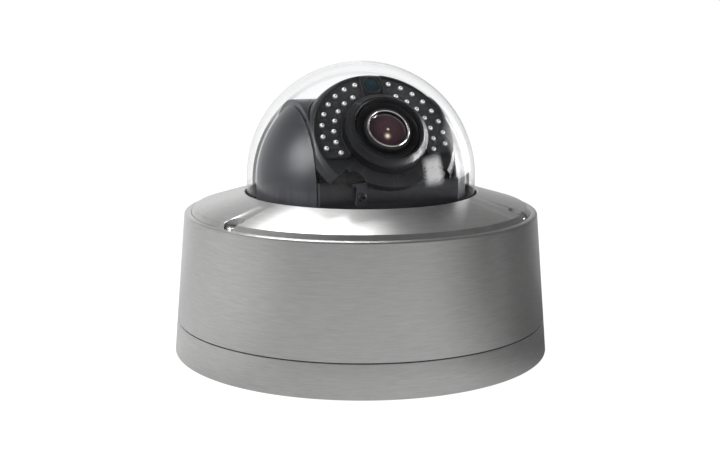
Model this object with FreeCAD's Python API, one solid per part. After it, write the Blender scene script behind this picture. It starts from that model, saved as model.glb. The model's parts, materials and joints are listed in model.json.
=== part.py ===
"""Surface-mounted dome camera with a stainless steel housing.

The camera stands on its mounting face, dome upwards. The row frame's origin is the centre of that face,
+Z runs out through the dome and the front is -Y. All sizes are millimetres and degrees.

A tapered base and body hold a three-axis gimbal under a clear dome: a turntable pans about Z, a camera
module between two side covers tilts about a level axis, and the lens rolls about its own optical axis.
Parts of the gimbal are built in the turret frame, whose X is the tilt axis and whose origin is the gimbal
centre. Parts of the module are built in the module frame, whose Z is the optical axis and whose Y is up.
"""
import FreeCAD
import Part
import math
import os

V = FreeCAD.Vector

# ---- driving dimensions: housing ----
BASE_RADIUS = 90.0          # outer radius at the mounting face
SHOULDER_RADIUS = 84.4      # outer radius where the tapered wall meets the top rim's rounding
SHOULDER_Z = 65.9           # height of that point
RIM_ROUND = 1.15            # rounding of the body's top edge
SEAM_Z = 15.6               # top face of the base
SEAM_GAP = 0.4              # shadow gap between base and body
FLOOR = 4.0                 # thickness of the base's floor
WALL = 3.2                  # thickness of the body's wall
MOUNT_HOLE_CIRCLE = 65.0    # radius of the circle of ceiling screw holes
MOUNT_HOLE_RADIUS = 2.75
BODY_SCREW_CIRCLE = 78.0
BODY_SCREW_ANGLES = (30.0, 150.0, 270.0)

# ---- driving dimensions: cover and dome ----
COVER_RADIUS = 81.0         # cover's largest radius, in the body's recess
COVER_SEAT_Z = 64.0         # floor of that recess
EDGE_RADIUS = 79.5          # edge between the cover's bevel and its cone
EDGE_Z = 69.2
LIP_RADIUS = 55.6           # cover's opening round the dome
LIP_Z = 76.25
POCKET_RADIUS = 4.6         # screw pockets, sunk in the cone's outer edge
POCKET_CIRCLE = 77.3
POCKET_FLOOR_Z = 65.6
POCKET_ANGLES = (-46.0, 70.0, 192.0)   # from the front towards +X; uneven, so the cover fits one way only
DOME_RADIUS = 54.65         # outside of the dome
DOME_CENTRE_Z = 82.95
DOME_BORE = 52.2            # inside of the dome, centred on the gimbal
DOME_FLANGE_RADIUS = 60.8
DOME_FLANGE_Z = 67.75
RETAINER_SCREW_CIRCLE = 65.0

# ---- driving dimensions: gimbal ----
GIMBAL_Z = 80.7             # height of the gimbal centre, where pan, tilt and roll axes meet
HEADING = 19.7              # rest pan angle of the lens, from the front towards +X
ELEVATION = 38.0            # rest angle of the lens above level
LEVEL_TABLE_Z = 40.4        # underside of the turntable
TABLE_THICK = 4.0
TABLE_RADIUS = 49.5
HUB_RADIUS = 24.0
HUB_BORE = 15.0
SIDE_RADIUS = 50.0          # outside of the side covers
SIDE_PLANE = 34.0           # inner face of the side covers, along the tilt axis
ARM_PLANE = 35.4            # inner face of the yoke's arms
ARM_THICK = 2.4
ARM_HALF_WIDTH = 15.0
PIVOT_RADIUS = 3.0
RUNNING = 0.05              # radial clearance of a running fit
LOCK_ARC = 11.0             # radius of the tilt lock's arc slot
LOCK_REST = 75.5            # rest angle of the lock screw, from level front towards up
TILT_DOWN, TILT_UP = -23.0, 52.0
CHEEK_PLANE = 33.4          # outer faces of the module
DRUM_RADIUS = 39.5
CHEEK_RADIUS = 34.5

# ---- driving dimensions: camera module, along the optical axis ----
FACE_Z = 40.0               # front face of the mask
FACE_RADIUS = 32.4          # flat part of the mask
RIM_RADIUS = 35.5
MASK_BORE = 19.7
BAND_RADIUS = 26.8          # mask below the lens
LEG_ANGLE = 126.5           # where the mask's legs end, from straight up
LEG_BACK = 34.6             # back of the legs; above them the mask's wall runs further back
TAB_FRONT = 43.0            # front of the drum's tab, from the tilt axis
TAB_SCREW = (-14.8, -1.0)   # the tab's screw, along and above the tilt axis
PANEL_INNER, PANEL_OUTER = 20.4, 32.2
BRIDGE_HALF = 5.5           # half width of the bridge that holds the light sensor
PANEL_FOOT = -10.2          # lower edge of the lamp panels
SENSOR_HEIGHT = 27.6        # light sensor above the optical axis
LAMP_RADIUS = 1.5
OUTER_LAMPS = (29.1, 16.5, 12.0, 8)    # arc radius, first angle, pitch, count
INNER_LAMPS = (23.6, 26.5, 13.8, 7)
HOOD_Z = 47.2
RING_TEETH, PINION_TEETH, GEAR_MODULE = 44, 14, 0.8
GEAR_CENTRES = (RING_TEETH + PINION_TEETH) * GEAR_MODULE / 2
ZOOM_GEAR_Z, FOCUS_GEAR_Z, GEAR_WIDTH = 15.9, 8.8, 4.5
ZOOM_MOTOR_ANGLE, FOCUS_MOTOR_ANGLE = 180.0, 90.0

# ---- driving dimensions: electronics ----
BOARD_Z, BOARD_THICK, BOARD_RADIUS = 22.0, 1.6, 55.0
CHASSIS_Z, CHASSIS_THICK, CHASSIS_RADIUS = 34.0, 2.5, 57.0
STANDOFF_CIRCLE = 48.0
STANDOFF_ANGLES = (45.0, 135.0, 225.0, 315.0)
WELL_RADIUS, WELL_Z = 20.0, 14.0       # recess in the mounting face for the cable gland
GLAND_THREAD = 8.0
CABLE_RADIUS = 3.5


# ---- shape helpers ----
def outline(*points):
    """Closed wire in the XZ plane. A point is (r, z), or ((r, z), (r, z)) for an arc's middle and end."""
    edges = []
    here = V(points[0][0], 0, points[0][1])
    for step in points[1:] + (points[0],):
        if isinstance(step[0], tuple):
            middle, end = (V(r, 0, z) for r, z in step)
            edges.append(Part.Arc(here, middle, end).toShape())
        else:
            end = V(step[0], 0, step[1])
            edges.append(Part.makeLine(here, end))
        here = end
    return Part.Wire(edges)


def turned(*points):
    """Solid made by turning an outline about Z."""
    solid = Part.Face(outline(*points)).revolve(V(0, 0, 0), V(0, 0, 1), 360)
    return solid if solid.Volume > 0 else solid.reversed()


def domed(radius, low, high):
    """End of an outline: a spherical cap's arc, from its edge at (radius, low) to its top at (0, high)."""
    sphere = (radius ** 2 + (high - low) ** 2) / (2 * (high - low))
    half = math.asin(radius / sphere) / 2
    return (sphere * math.sin(half), high - sphere + sphere * math.cos(half)), (0, high)


def rod(radius, low, high, x=0.0, y=0.0):
    """Upright cylinder between two heights."""
    return Part.makeCylinder(radius, high - low, V(x, y, low))


def ring(inner, outer, low, high):
    """Upright tube between two heights."""
    return rod(outer, low, high).cut(rod(inner, low - 1, high + 1))


def block(x0, x1, y0, y1, z0, z1):
    """Box between two corners."""
    return Part.makeBox(x1 - x0, y1 - y0, z1 - z0, V(x0, y0, z0))


def cross_rod(radius, x0, x1, y=0.0, z=0.0):
    """Cylinder along X."""
    low, high = min(x0, x1), max(x0, x1)
    return Part.makeCylinder(radius, high - low, V(low, y, z), V(1, 0, 0))


def prism(points, low, high):
    """Upright prism on a polygon of (x, y) points."""
    corners = [V(x, y, low) for x, y in points]
    return Part.Face(Part.makePolygon(corners + corners[:1])).extrude(V(0, 0, high - low))


def turn(shape, angle, axis=V(0, 0, 1)):
    """Copy of a shape, turned about an axis through the origin."""
    copy = shape.copy()
    copy.rotate(V(0, 0, 0), axis, angle)
    return copy


def moved(shape, x=0.0, y=0.0, z=0.0):
    """Copy of a shape, moved."""
    copy = shape.copy()
    copy.translate(V(x, y, z))
    return copy


def polar(radius, angle):
    """(x, y) at an angle from +X."""
    return radius * math.cos(math.radians(angle)), radius * math.sin(math.radians(angle))


def from_front(radius, angle):
    """(x, y) at an angle from the front, -Y, towards +X."""
    return polar(radius, angle - 90)


def from_top(radius, angle):
    """(x, y) at an angle from +Y towards +X, as on the module's face."""
    return polar(radius, 90 - angle)


def group(shapes):
    """Several separate solids in one node."""
    return Part.makeCompound([s for shape in shapes for s in shape.Solids])


def fused(first, *others):
    """One solid from shapes that touch."""
    whole = first
    for other in others:
        whole = whole.fuse(other)
    return whole.removeSplitter()


def hexagon(across_flats, low, high, x=0.0, y=0.0):
    """Hexagonal prism."""
    corner = across_flats / 2 / math.cos(math.radians(30))
    return moved(prism([polar(corner, 60 * k) for k in range(6)], low, high), x, y)


def screw(head_radius, head_height, shank_radius, length, drive=2.0):
    """Pan-head screw with a hexagonal socket: head above Z 0, shank below."""
    head = turned((0, 0), (head_radius, 0), (head_radius, head_height * 0.55),
                  ((head_radius * 0.86, head_height * 0.88), (head_radius * 0.55, head_height)), (0, head_height))
    socket = hexagon(drive, head_height * 0.4, head_height + 1)
    return fused(head.cut(socket), rod(shank_radius, -length, 0))


def in_turret(shape):
    """From the turret frame to the row frame."""
    return moved(turn(shape, HEADING), z=GIMBAL_Z)


def in_module(shape):
    """From the module frame to the row frame."""
    return in_turret(turn(shape, 90 - ELEVATION, V(1, 0, 0)))


def skin_radius(z):
    """Outer radius of the tapered housing at a height."""
    return BASE_RADIUS - (BASE_RADIUS - SHOULDER_RADIUS) * z / SHOULDER_Z


# ---- housing ----
def base_plate():
    """Cup with the mounting face, the gland's well and bosses for the body's screws."""
    edge, groove_in, groove_out, groove_floor, inner = 0.6, 84.0, 86.6, 13.8, 80.5
    cup = turned((GLAND_THREAD + 0.1, WELL_Z), (WELL_RADIUS, WELL_Z), (WELL_RADIUS, 0),
                 (BASE_RADIUS - edge, 0), (skin_radius(edge), edge), (skin_radius(SEAM_Z), SEAM_Z),
                 (groove_out, SEAM_Z), (groove_out, groove_floor), (groove_in, groove_floor),
                 (groove_in, SEAM_Z), (inner, SEAM_Z), (inner, FLOOR), (WELL_RADIUS + 4, FLOOR),
                 (WELL_RADIUS + 4, WELL_Z + 4), (GLAND_THREAD + 0.1, WELL_Z + 4))
    for angle in BODY_SCREW_ANGLES:
        x, y = polar(BODY_SCREW_CIRCLE, angle)
        cup = cup.fuse(rod(5.8, 0, SEAM_Z, x, y).cut(ring(groove_in, groove_out, groove_floor, SEAM_Z + 1)))
        cup = cup.cut(rod(4.5, -1, 5, x, y)).cut(rod(2.6, -1, SEAM_Z + 1, x, y))
    for angle in STANDOFF_ANGLES:
        x, y = polar(MOUNT_HOLE_CIRCLE, angle)
        cup = cup.cut(rod(MOUNT_HOLE_RADIUS, -1, FLOOR + 1, x, y))
    return cup.removeSplitter()


def body_housing():
    """Tapered steel shell with a flange at each end and bosses for the cover's screws."""
    low = SEAM_Z + SEAM_GAP
    flange_under = COVER_SEAT_Z - 4.5
    centre_r, centre_z = SHOULDER_RADIUS - RIM_ROUND, SHOULDER_Z
    round_at = RIM_ROUND * math.sqrt(0.5)
    rim_z = centre_z + RIM_ROUND
    recess = COVER_RADIUS + 0.12
    shell = turned((skin_radius(low), low), (SHOULDER_RADIUS, SHOULDER_Z),
                   ((centre_r + round_at, centre_z + round_at), (centre_r, rim_z)), (recess, rim_z),
                   (recess, COVER_SEAT_Z), (74.8, COVER_SEAT_Z), (74.8, 62.6), (72.6, 62.6),
                   (72.6, COVER_SEAT_Z), (71.5, COVER_SEAT_Z), (71.5, flange_under),
                   (skin_radius(flange_under) - WALL, flange_under), (skin_radius(20) - WALL, 20),
                   (70.0, 20), (70.0, low))
    for angle in POCKET_ANGLES:
        x, y = from_front(POCKET_CIRCLE, angle)
        shell = shell.fuse(rod(4.4, 52, flange_under + 1, x, y))
        shell = shell.cut(rod(2.0, 53.4, COVER_SEAT_Z + 1, x, y))
    for angle in BODY_SCREW_ANGLES:
        x, y = polar(BODY_SCREW_CIRCLE, angle)
        shell = shell.fuse(rod(5.0, 19, 26, x, y)).cut(rod(2.1, low - 1, 25, x, y))
    return shell.removeSplitter()


def housing():
    """Base, body, seals and their screws."""
    body_screw = turn(screw(4.2, 4.3, 2.0, 19.0, 4.0), 180, V(1, 0, 0))
    return {
        "base_plate": base_plate(),
        "base_gasket": ring(84.1, 86.5, 13.8, SEAM_Z + SEAM_GAP),
        "body_housing": body_housing(),
        "body_screws": group(moved(body_screw, *polar(BODY_SCREW_CIRCLE, a), 5) for a in BODY_SCREW_ANGLES),
        "cover_gasket": ring(72.7, 74.7, 62.6, COVER_SEAT_Z),
    }


def cable_gland():
    """Cable gland in the mounting face's well, bored for the cable."""
    body = fused(hexagon(21.0, WELL_Z - 4, WELL_Z), rod(GLAND_THREAD, WELL_Z, WELL_Z + 6.6),
                 rod(8.0, WELL_Z - 9, WELL_Z - 4))
    body = body.cut(rod(6.3, 0, 13)).cut(rod(CABLE_RADIUS + 1, 12, 22))
    nut = turned((0, 1.6), (7.2, 1.6), (9.6, 3.6), (9.6, 9.6), (0, 9.6))
    nut = nut.common(hexagon(18.6, 0, 12)).cut(rod(8.05, 4.4, 12)).cut(rod(CABLE_RADIUS + 1, 0, 6))
    return {
        "cable_gland_body": body,
        "cable_gland_nut": nut,
        "cable_gland_seal": ring(CABLE_RADIUS, 6.25, 4.5, 12.9),
    }


# ---- cover ----
def dome_cover():
    """Conical steel cover ring with a bevelled edge, screw pockets and a recess for the dome's flange."""
    soft = 0.35
    slope = (LIP_Z - EDGE_Z) / (EDGE_RADIUS - LIP_RADIUS)
    cover = turned((COVER_RADIUS, COVER_SEAT_Z), (COVER_RADIUS, 67.05), (EDGE_RADIUS + soft, EDGE_Z - soft),
                   ((EDGE_RADIUS - 0.03, EDGE_Z - 0.05), (EDGE_RADIUS - 0.5, EDGE_Z + 0.5 * slope)),
                   (LIP_RADIUS + 0.6, LIP_Z - 0.6 * slope),
                   ((LIP_RADIUS + 0.14, LIP_Z - 0.24), (LIP_RADIUS, LIP_Z - 0.7)),
                   (LIP_RADIUS, 71.2), (61.2, 71.2), (61.2, 68.0), (69.0, 68.0), (69.0, 60.8),
                   (71.3, 60.8), (71.3, COVER_SEAT_Z))
    for angle in POCKET_ANGLES:
        x, y = from_front(POCKET_CIRCLE, angle)
        cover = cover.cut(rod(POCKET_RADIUS, POCKET_FLOOR_Z, 80, x, y)).cut(rod(2.2, 60, 70, x, y))
    for k in range(6):
        x, y = from_front(RETAINER_SCREW_CIRCLE, 12 + 60 * k)
        cover = cover.cut(rod(1.35, 67, 71.4, x, y))
    return cover.removeSplitter()


def dome():
    """Clear dome, thicker at its crown, on a straight skirt with a flange."""
    def at(radius, centre, angle):
        x, z = polar(radius, angle)
        return x, centre + z
    top = DOME_CENTRE_Z + DOME_RADIUS
    bore_top = GIMBAL_Z + DOME_BORE
    return turned((DOME_FLANGE_RADIUS, DOME_FLANGE_Z), (DOME_FLANGE_RADIUS, 70.2), (DOME_RADIUS, 70.2),
                  (DOME_RADIUS, DOME_CENTRE_Z), (at(DOME_RADIUS, DOME_CENTRE_Z, 45), (0, top)),
                  (0, bore_top), (at(DOME_BORE, GIMBAL_Z, 45), (DOME_BORE, GIMBAL_Z)),
                  (DOME_BORE, DOME_FLANGE_Z))


def cover():
    """Cover ring, captive screws, dome, its seal and its clamping ring."""
    head = turned((0, 0), (3.6, 0), (3.6, 1.0), ((3.1, 1.9), (1.9, 2.2)), (0, 2.2))
    star = group([hexagon(3.0, 0.9, 3), turn(hexagon(3.0, 0.9, 3), 30)])
    captive = fused(head.cut(star), rod(0.5, 0.8, 1.9), rod(1.9, -12, 0))
    clamp = turn(screw(2.7, 2.1, 1.25, 5.8), 180, V(1, 0, 0))
    clamp_places = [from_front(RETAINER_SCREW_CIRCLE, 12 + 60 * k) for k in range(6)]
    retainer = ring(53.2, 68.6, 65.3, 67.7)
    for x, y in clamp_places:
        retainer = retainer.cut(rod(1.5, 60, 70, x, y))
    washer = ring(2.2, 3.7, 0, 0.5)
    lip = LIP_RADIUS - 0.05
    return {
        "dome_cover": dome_cover(),
        "cover_screws": group(moved(turn(captive, a), *from_front(POCKET_CIRCLE, a), POCKET_FLOOR_Z + 0.5)
                              for a in POCKET_ANGLES),
        "cover_screw_washers": group(moved(washer, *from_front(POCKET_CIRCLE, a), POCKET_FLOOR_Z)
                                     for a in POCKET_ANGLES),
        "dome": dome(),
        "dome_seal": turned((54.75, 70.25), (60.7, 70.25), (60.7, 71.15), (lip, 71.15), (lip, 75.7),
                            ((55.15, 75.95), (54.75, 75.7))),
        "dome_retainer": retainer,
        "retainer_screws": group(moved(clamp, x, y, 65.3) for x, y in clamp_places),
    }


# ---- electronics and chassis ----
def chassis():
    """Round plate on standoffs over the main board, with the pan bearing and the pan stop."""
    top = CHASSIS_Z + CHASSIS_THICK
    plate = ring(HUB_RADIUS + RUNNING, CHASSIS_RADIUS, CHASSIS_Z, top)
    for angle in STANDOFF_ANGLES:
        x, y = polar(STANDOFF_CIRCLE, angle)
        plate = plate.cut(rod(1.7, CHASSIS_Z - 1, top + 1, x, y))
    for angle in (0, 180):
        plate = plate.cut(turn(block(41, 53, -9, 9, CHASSIS_Z - 1, top + 1), angle))
    stop = turn(block(-0.7, 0.7, 36.5, 39.5, top - 0.5, top + 3.2), HEADING)
    screws = screw(2.8, 2.0, 1.5, 14.0, 2.5)
    upper, lower = CHASSIS_Z - BOARD_Z - BOARD_THICK, BOARD_Z - FLOOR
    return {
        "chassis_plate": fused(plate, stop),
        "chassis_screws": group(moved(screws, *polar(STANDOFF_CIRCLE, a), top) for a in STANDOFF_ANGLES),
        "upper_standoffs": group(moved(hexagon(6.0, 0, upper).cut(rod(1.6, -1, 20)),
                                       *polar(STANDOFF_CIRCLE, a), BOARD_Z + BOARD_THICK) for a in STANDOFF_ANGLES),
        "lower_standoffs": group(moved(hexagon(7.0, 0, lower).cut(rod(1.6, lower - 8, 20)),
                                       *polar(STANDOFF_CIRCLE, a), FLOOR) for a in STANDOFF_ANGLES),
        "pan_bearing_ring": ring(HUB_RADIUS + 0.3, 33.5, top, top + 3.0),
    }


def electronics():
    """Main board with its processor cooler, cable headers, card socket and reset switch."""
    top = BOARD_Z + BOARD_THICK
    board = ring(12.0, BOARD_RADIUS, BOARD_Z, top)
    for angle in STANDOFF_ANGLES:
        x, y = polar(STANDOFF_CIRCLE, angle)
        board = board.cut(rod(1.7, BOARD_Z - 1, top + 1, x, y))
    cooler = block(-46, -26, -10, 10, top, top + 8)
    for k in range(5):
        x = -43.4 + 3.6 * k
        cooler = cooler.cut(block(x, x + 1.8, -11, 11, top + 2.5, top + 9))
    socket = block(36, 51, -26, -11, top, top + 2.2).cut(block(38, 52, -24.2, -12.8, top + 0.5, top + 1.7))
    switch = block(7, 13, -50, -44, top, top + 3.5).cut(rod(1.8, top + 1.4, top + 4, 10, -47))
    headers = [block(-12, 2, 34, 42, top, top + 7.5), block(8, 18, 36, 43, top, top + 6.5)]
    return {
        "main_board": board,
        "processor_cooler": cooler,
        "cable_headers": group(headers),
        "card_socket": socket,
        "memory_card": block(38.4, 53.4, -24.0, -13.0, top + 0.6, top + 1.6),
        "reset_switch": switch,
        "reset_button": fused(rod(1.7, top + 2.0, top + 4.6, 10, -47), rod(1.2, top + 4.0, top + 5.0, 10, -47)),
    }


# ---- pan stage, in the turret frame ----
def turntable():
    """Disc with a hub, a cable opening, a stop tab and a raised front pad."""
    under, top = LEVEL_TABLE_Z - GIMBAL_Z, LEVEL_TABLE_Z + TABLE_THICK - GIMBAL_Z
    table = fused(rod(TABLE_RADIUS, under, top), rod(HUB_RADIUS, under - 8.9, under))
    table = table.cut(rod(HUB_BORE, under - 10, top + 1))
    table = table.cut(ring(HUB_RADIUS - 1.5, HUB_RADIUS + 1, under - 8.3, under - 6.7))
    tab = block(-0.7, 0.7, -39.5, -36.5, under - 1.6, under + 0.5)
    return fused(table, tab)


def yoke_arm(side):
    """Upright arm with an outward foot; the right arm has the tilt lock's arc slot."""
    foot_z = LEVEL_TABLE_Z + TABLE_THICK - GIMBAL_Z
    near, far = ARM_PLANE, ARM_PLANE + ARM_THICK
    upright = block(near, far, -ARM_HALF_WIDTH, ARM_HALF_WIDTH, foot_z, 0)
    arm = fused(upright, cross_rod(ARM_HALF_WIDTH, near, far), block(near, 45.0, -10, 10, foot_z, foot_z + 2.4))
    arm = arm.cut(cross_rod(PIVOT_RADIUS + 0.02, near - 1, far + 1))
    for y in (-6.5, 6.5):
        arm = arm.cut(rod(1.6, foot_z - 1, foot_z + 4, 41.6, y))
    if side > 0:
        first, last = LOCK_REST + TILT_DOWN - 10, LOCK_REST + TILT_UP + 10
        slot = cross_rod(LOCK_ARC + 1.75, near - 1, far + 1).cut(cross_rod(LOCK_ARC - 1.75, near - 2, far + 2))
        wedge = [(0, 0)] + [polar(30, 180 - first - (last - first) * k / 6) for k in range(7)]
        sector = Part.Face(Part.makePolygon([V(near - 1, y, z) for y, z in wedge + wedge[:1]]))
        arm = arm.cut(slot.common(sector.extrude(V(ARM_THICK + 2, 0, 0))))
        return arm
    return arm.mirror(V(0, 0, 0), V(1, 0, 0))


def side_cover(side):
    """Smooth black cover over one arm: ball above the tilt axis, upright wall below it."""
    floor_z = LEVEL_TABLE_Z + TABLE_THICK - GIMBAL_Z

    def bulb(radius, plane):
        round_part = Part.makeSphere(radius, V(0, 0, 0), V(0, 0, 1), 0, 90, 360)
        return round_part.fuse(rod(radius, floor_z, 0)).common(block(plane, 60, -60, 60, -60, 60))
    cup = bulb(SIDE_RADIUS, SIDE_PLANE).cut(bulb(SIDE_RADIUS - 2, SIDE_PLANE + 1.0))
    cup = cup.cut(cross_rod(24.0, SIDE_PLANE - 1, SIDE_PLANE + 1.3)).removeSplitter()
    return cup if side > 0 else cup.mirror(V(0, 0, 0), V(1, 0, 0))


def pan_stage():
    """Everything that turns with the turntable."""
    under, top = LEVEL_TABLE_Z - GIMBAL_Z, LEVEL_TABLE_Z + TABLE_THICK - GIMBAL_Z
    clip = ring(HUB_RADIUS - 1.4, HUB_RADIUS + 4, under - 8.2, under - 6.8).cut(block(-5, 5, 10, 40, -60, 0))
    foot_screw = screw(2.6, 1.9, 1.45, 5.0)
    foot_places = [(side * 41.6, y) for side in (-1, 1) for y in (-6.5, 6.5)]
    table = turntable()
    for x, y in foot_places:
        table = table.cut(rod(1.5, top - 3.2, top + 1, x, y))
    pivot = fused(cross_rod(PIVOT_RADIUS, 31.0, 37.9), cross_rod(5.0, 37.85, 40.2))
    pivot = pivot.cut(turn(hexagon(3.5, 39.0, 41), 90, V(0, 1, 0)))
    washer = cross_rod(8.0, 33.6, 35.3).cut(cross_rod(PIVOT_RADIUS + 0.2, 33, 36))
    left = V(1, 0, 0)
    return {
        "turntable": table,
        "pan_washer": ring(26.0, 32.5, under - 0.8, under),
        "pan_clip": clip,
        "yoke_arm_left": yoke_arm(-1),
        "yoke_arm_right": yoke_arm(1),
        "yoke_screws": group(moved(foot_screw, x, y, top + 2.4) for x, y in foot_places),
        "side_cover_left": side_cover(-1),
        "side_cover_right": side_cover(1),
        "tilt_pivots": group([pivot, pivot.mirror(V(0, 0, 0), left)]),
        "tilt_washers": group([washer, washer.mirror(V(0, 0, 0), left)]),
    }


# ---- camera module, in the module frame ----
def panel_area(side, inner, outer, inset, low, high):
    """Prism over one lamp panel's outline: an arc between the bridge and the panel's foot."""
    arc = ring(inner, outer, low, high)
    near, foot = BRIDGE_HALF + inset, PANEL_FOOT + inset
    corner = 2.2
    window = fused(block(near, 60, foot + corner, 60, low, high),
                   block(near, outer - 3.6 - inset, foot, foot + corner + 1, low, high),
                   rod(corner, low, high, outer - 3.6 - inset, foot + corner))
    area = arc.common(window)
    return area if side > 0 else area.mirror(V(0, 0, 0), V(1, 0, 0))


def lamp_places(side):
    """(x, y) of one panel's lamps: an outer arc and an inner one."""
    return [(side * from_top(radius, first + pitch * k)[0], from_top(radius, first + pitch * k)[1])
            for radius, first, pitch, count in (OUTER_LAMPS, INNER_LAMPS) for k in range(count)]


def face_mask():
    """Front mask: a flat face with a rounded rim, open at the two lamp panels, cut away under the lens."""
    back = 25.5
    mask = turned((MASK_BORE, FACE_Z - 1.6), (MASK_BORE, FACE_Z), (FACE_RADIUS, FACE_Z),
                  ((34.35, 38.35), (RIM_RADIUS, 35.4)), (36.6, 30.0), (36.8, back), (34.9, back),
                  (34.6, 30.0), (33.5, 35.2), ((32.7, 37.2), (31.4, FACE_Z - 1.6)))
    hollow = prism([(0, 0)] + [from_top(60, a) for a in (LEG_ANGLE, 150, 180, 210, 360 - LEG_ANGLE)], 20, 50)
    mask = mask.cut(hollow.cut(rod(BAND_RADIUS, 10, 60)))
    mask = mask.cut(block(-40, 40, -40, -9.5, 20, LEG_BACK))
    for side in (-1, 1):
        mask = mask.cut(rod(6.2, 20, 50, side * 19.5, -23.5))
    lip = ring(BAND_RADIUS - 1.4, BAND_RADIUS, FACE_Z - 4, FACE_Z - 1)
    lip_sector = prism([(0, 0)] + [from_top(60, a) for a in (156, 168, 180, 192, 204)], 20, 50)
    mask = mask.fuse(lip.common(lip_sector))
    mask = mask.fuse(rod(4.6, FACE_Z - 1.6, FACE_Z + 0.5, 0, SENSOR_HEIGHT))
    mask = mask.cut(rod(3.7, FACE_Z - 0.6, FACE_Z + 2, 0, SENSOR_HEIGHT))
    mask = mask.cut(rod(1.6, FACE_Z - 3, FACE_Z + 2, 0, SENSOR_HEIGHT))
    for side in (-1, 1):
        mask = mask.cut(panel_area(side, PANEL_INNER, PANEL_OUTER, 0, FACE_Z - 3, FACE_Z + 3))
        mask = mask.cut(block(min(side * 33.6, side * 60), max(side * 33.6, side * 60), -60, 60, 0, 60))
    mask = mask.cut(block(-0.2, 0.2, -BAND_RADIUS - 1, -MASK_BORE, FACE_Z - 0.5, FACE_Z + 1))
    return mask.removeSplitter()


def drum_sector(*angles):
    """Wedge about the tilt axis, over angles from the optical axis towards up."""
    corners = [(0, 0)] + [(90 * math.sin(math.radians(a)), 90 * math.cos(math.radians(a))) for a in angles]
    return Part.Face(Part.makePolygon([V(-40, y, z) for y, z in corners + corners[:1]])).extrude(V(80, 0, 0))


def levelled(shape):
    """From axes that are level when the module is at its rest angle to the module frame."""
    return turn(shape, ELEVATION - 90, V(1, 0, 0))


def shell_tab():
    """Small L-shaped tab on the drum's front."""
    plate = block(-19.6, -12.4, -TAB_FRONT, -37.6, 3.6, 5.2)
    foot = block(-17.2, -12.4, -TAB_FRONT, 1.8 - TAB_FRONT, -5.0, 5.2)
    web = block(-17.2, -12.4, 0.1 - TAB_FRONT, -38.2, -5.0, -3.4)
    return levelled(plate.fuse(foot).fuse(web))


def module_shell():
    """Drum behind the mask: roof, back and front apron between two cheeks that turn on the pivots."""
    drum = cross_rod(DRUM_RADIUS, -CHEEK_PLANE, CHEEK_PLANE)
    inside = cross_rod(DRUM_RADIUS - 2, -CHEEK_PLANE + 2, CHEEK_PLANE - 2)
    wall = drum.cut(inside)
    shell = wall.common(drum_sector(15, 50, 80, 115, 150))
    for side in (-1, 1):
        cheek = cross_rod(CHEEK_RADIUS, side * (CHEEK_PLANE - 2), side * CHEEK_PLANE)
        shell = shell.fuse(cheek)
    shell = shell.cut(turned((0, 25.5), (37.1, 25.5), (36.9, 30.2), (35.9, 36.0), (33.0, 41.0), (0, 41.0)))
    apron = wall.common(drum_sector(-30, -56, -78)).cut(block(-40, 40, -40, 0, LEG_BACK - 0.4, 60))
    shell = shell.fuse(apron).fuse(shell_tab())
    tab_hole = Part.makeCylinder(1.0, 8, V(TAB_SCREW[0], -45, TAB_SCREW[1]), V(0, 1, 0))
    shell = shell.cut(levelled(tab_hole))
    for x0, x1 in ((-32.0, -21.5), (21.5, 32.0)):
        lug = block(x0, x1, -5, 5, 23.5, 27.5).cut(rod(1.15, 23, 28, math.copysign(25.5, x0), 0))
        shell = shell.fuse(lug)
    shell = shell.cut(cross_rod(PIVOT_RADIUS + RUNNING, -40, 40))
    return shell.cut(lock_axis(1.5, 30, 36)).removeSplitter()


def lock_axis(radius, x0, x1):
    """Cylinder on the tilt lock screw's axis."""
    angle = LOCK_REST - ELEVATION
    y, z = LOCK_ARC * math.sin(math.radians(angle)), LOCK_ARC * math.cos(math.radians(angle))
    return cross_rod(radius, x0, x1, y, z)


def lens_bracket():
    """Cross plate that carries the lens in a round bearing."""
    low, high = 27.5, 30.5
    plate = rod(33.4, low, high).common(block(-31.2, 31.2, -21, 21, low, high))
    plate = plate.cut(rod(17.0 + RUNNING, low - 1, 60))
    return plate.cut(rod(1.15, 20, 40, 25.5, 0)).cut(rod(1.15, 20, 40, -25.5, 0)).removeSplitter()


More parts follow.
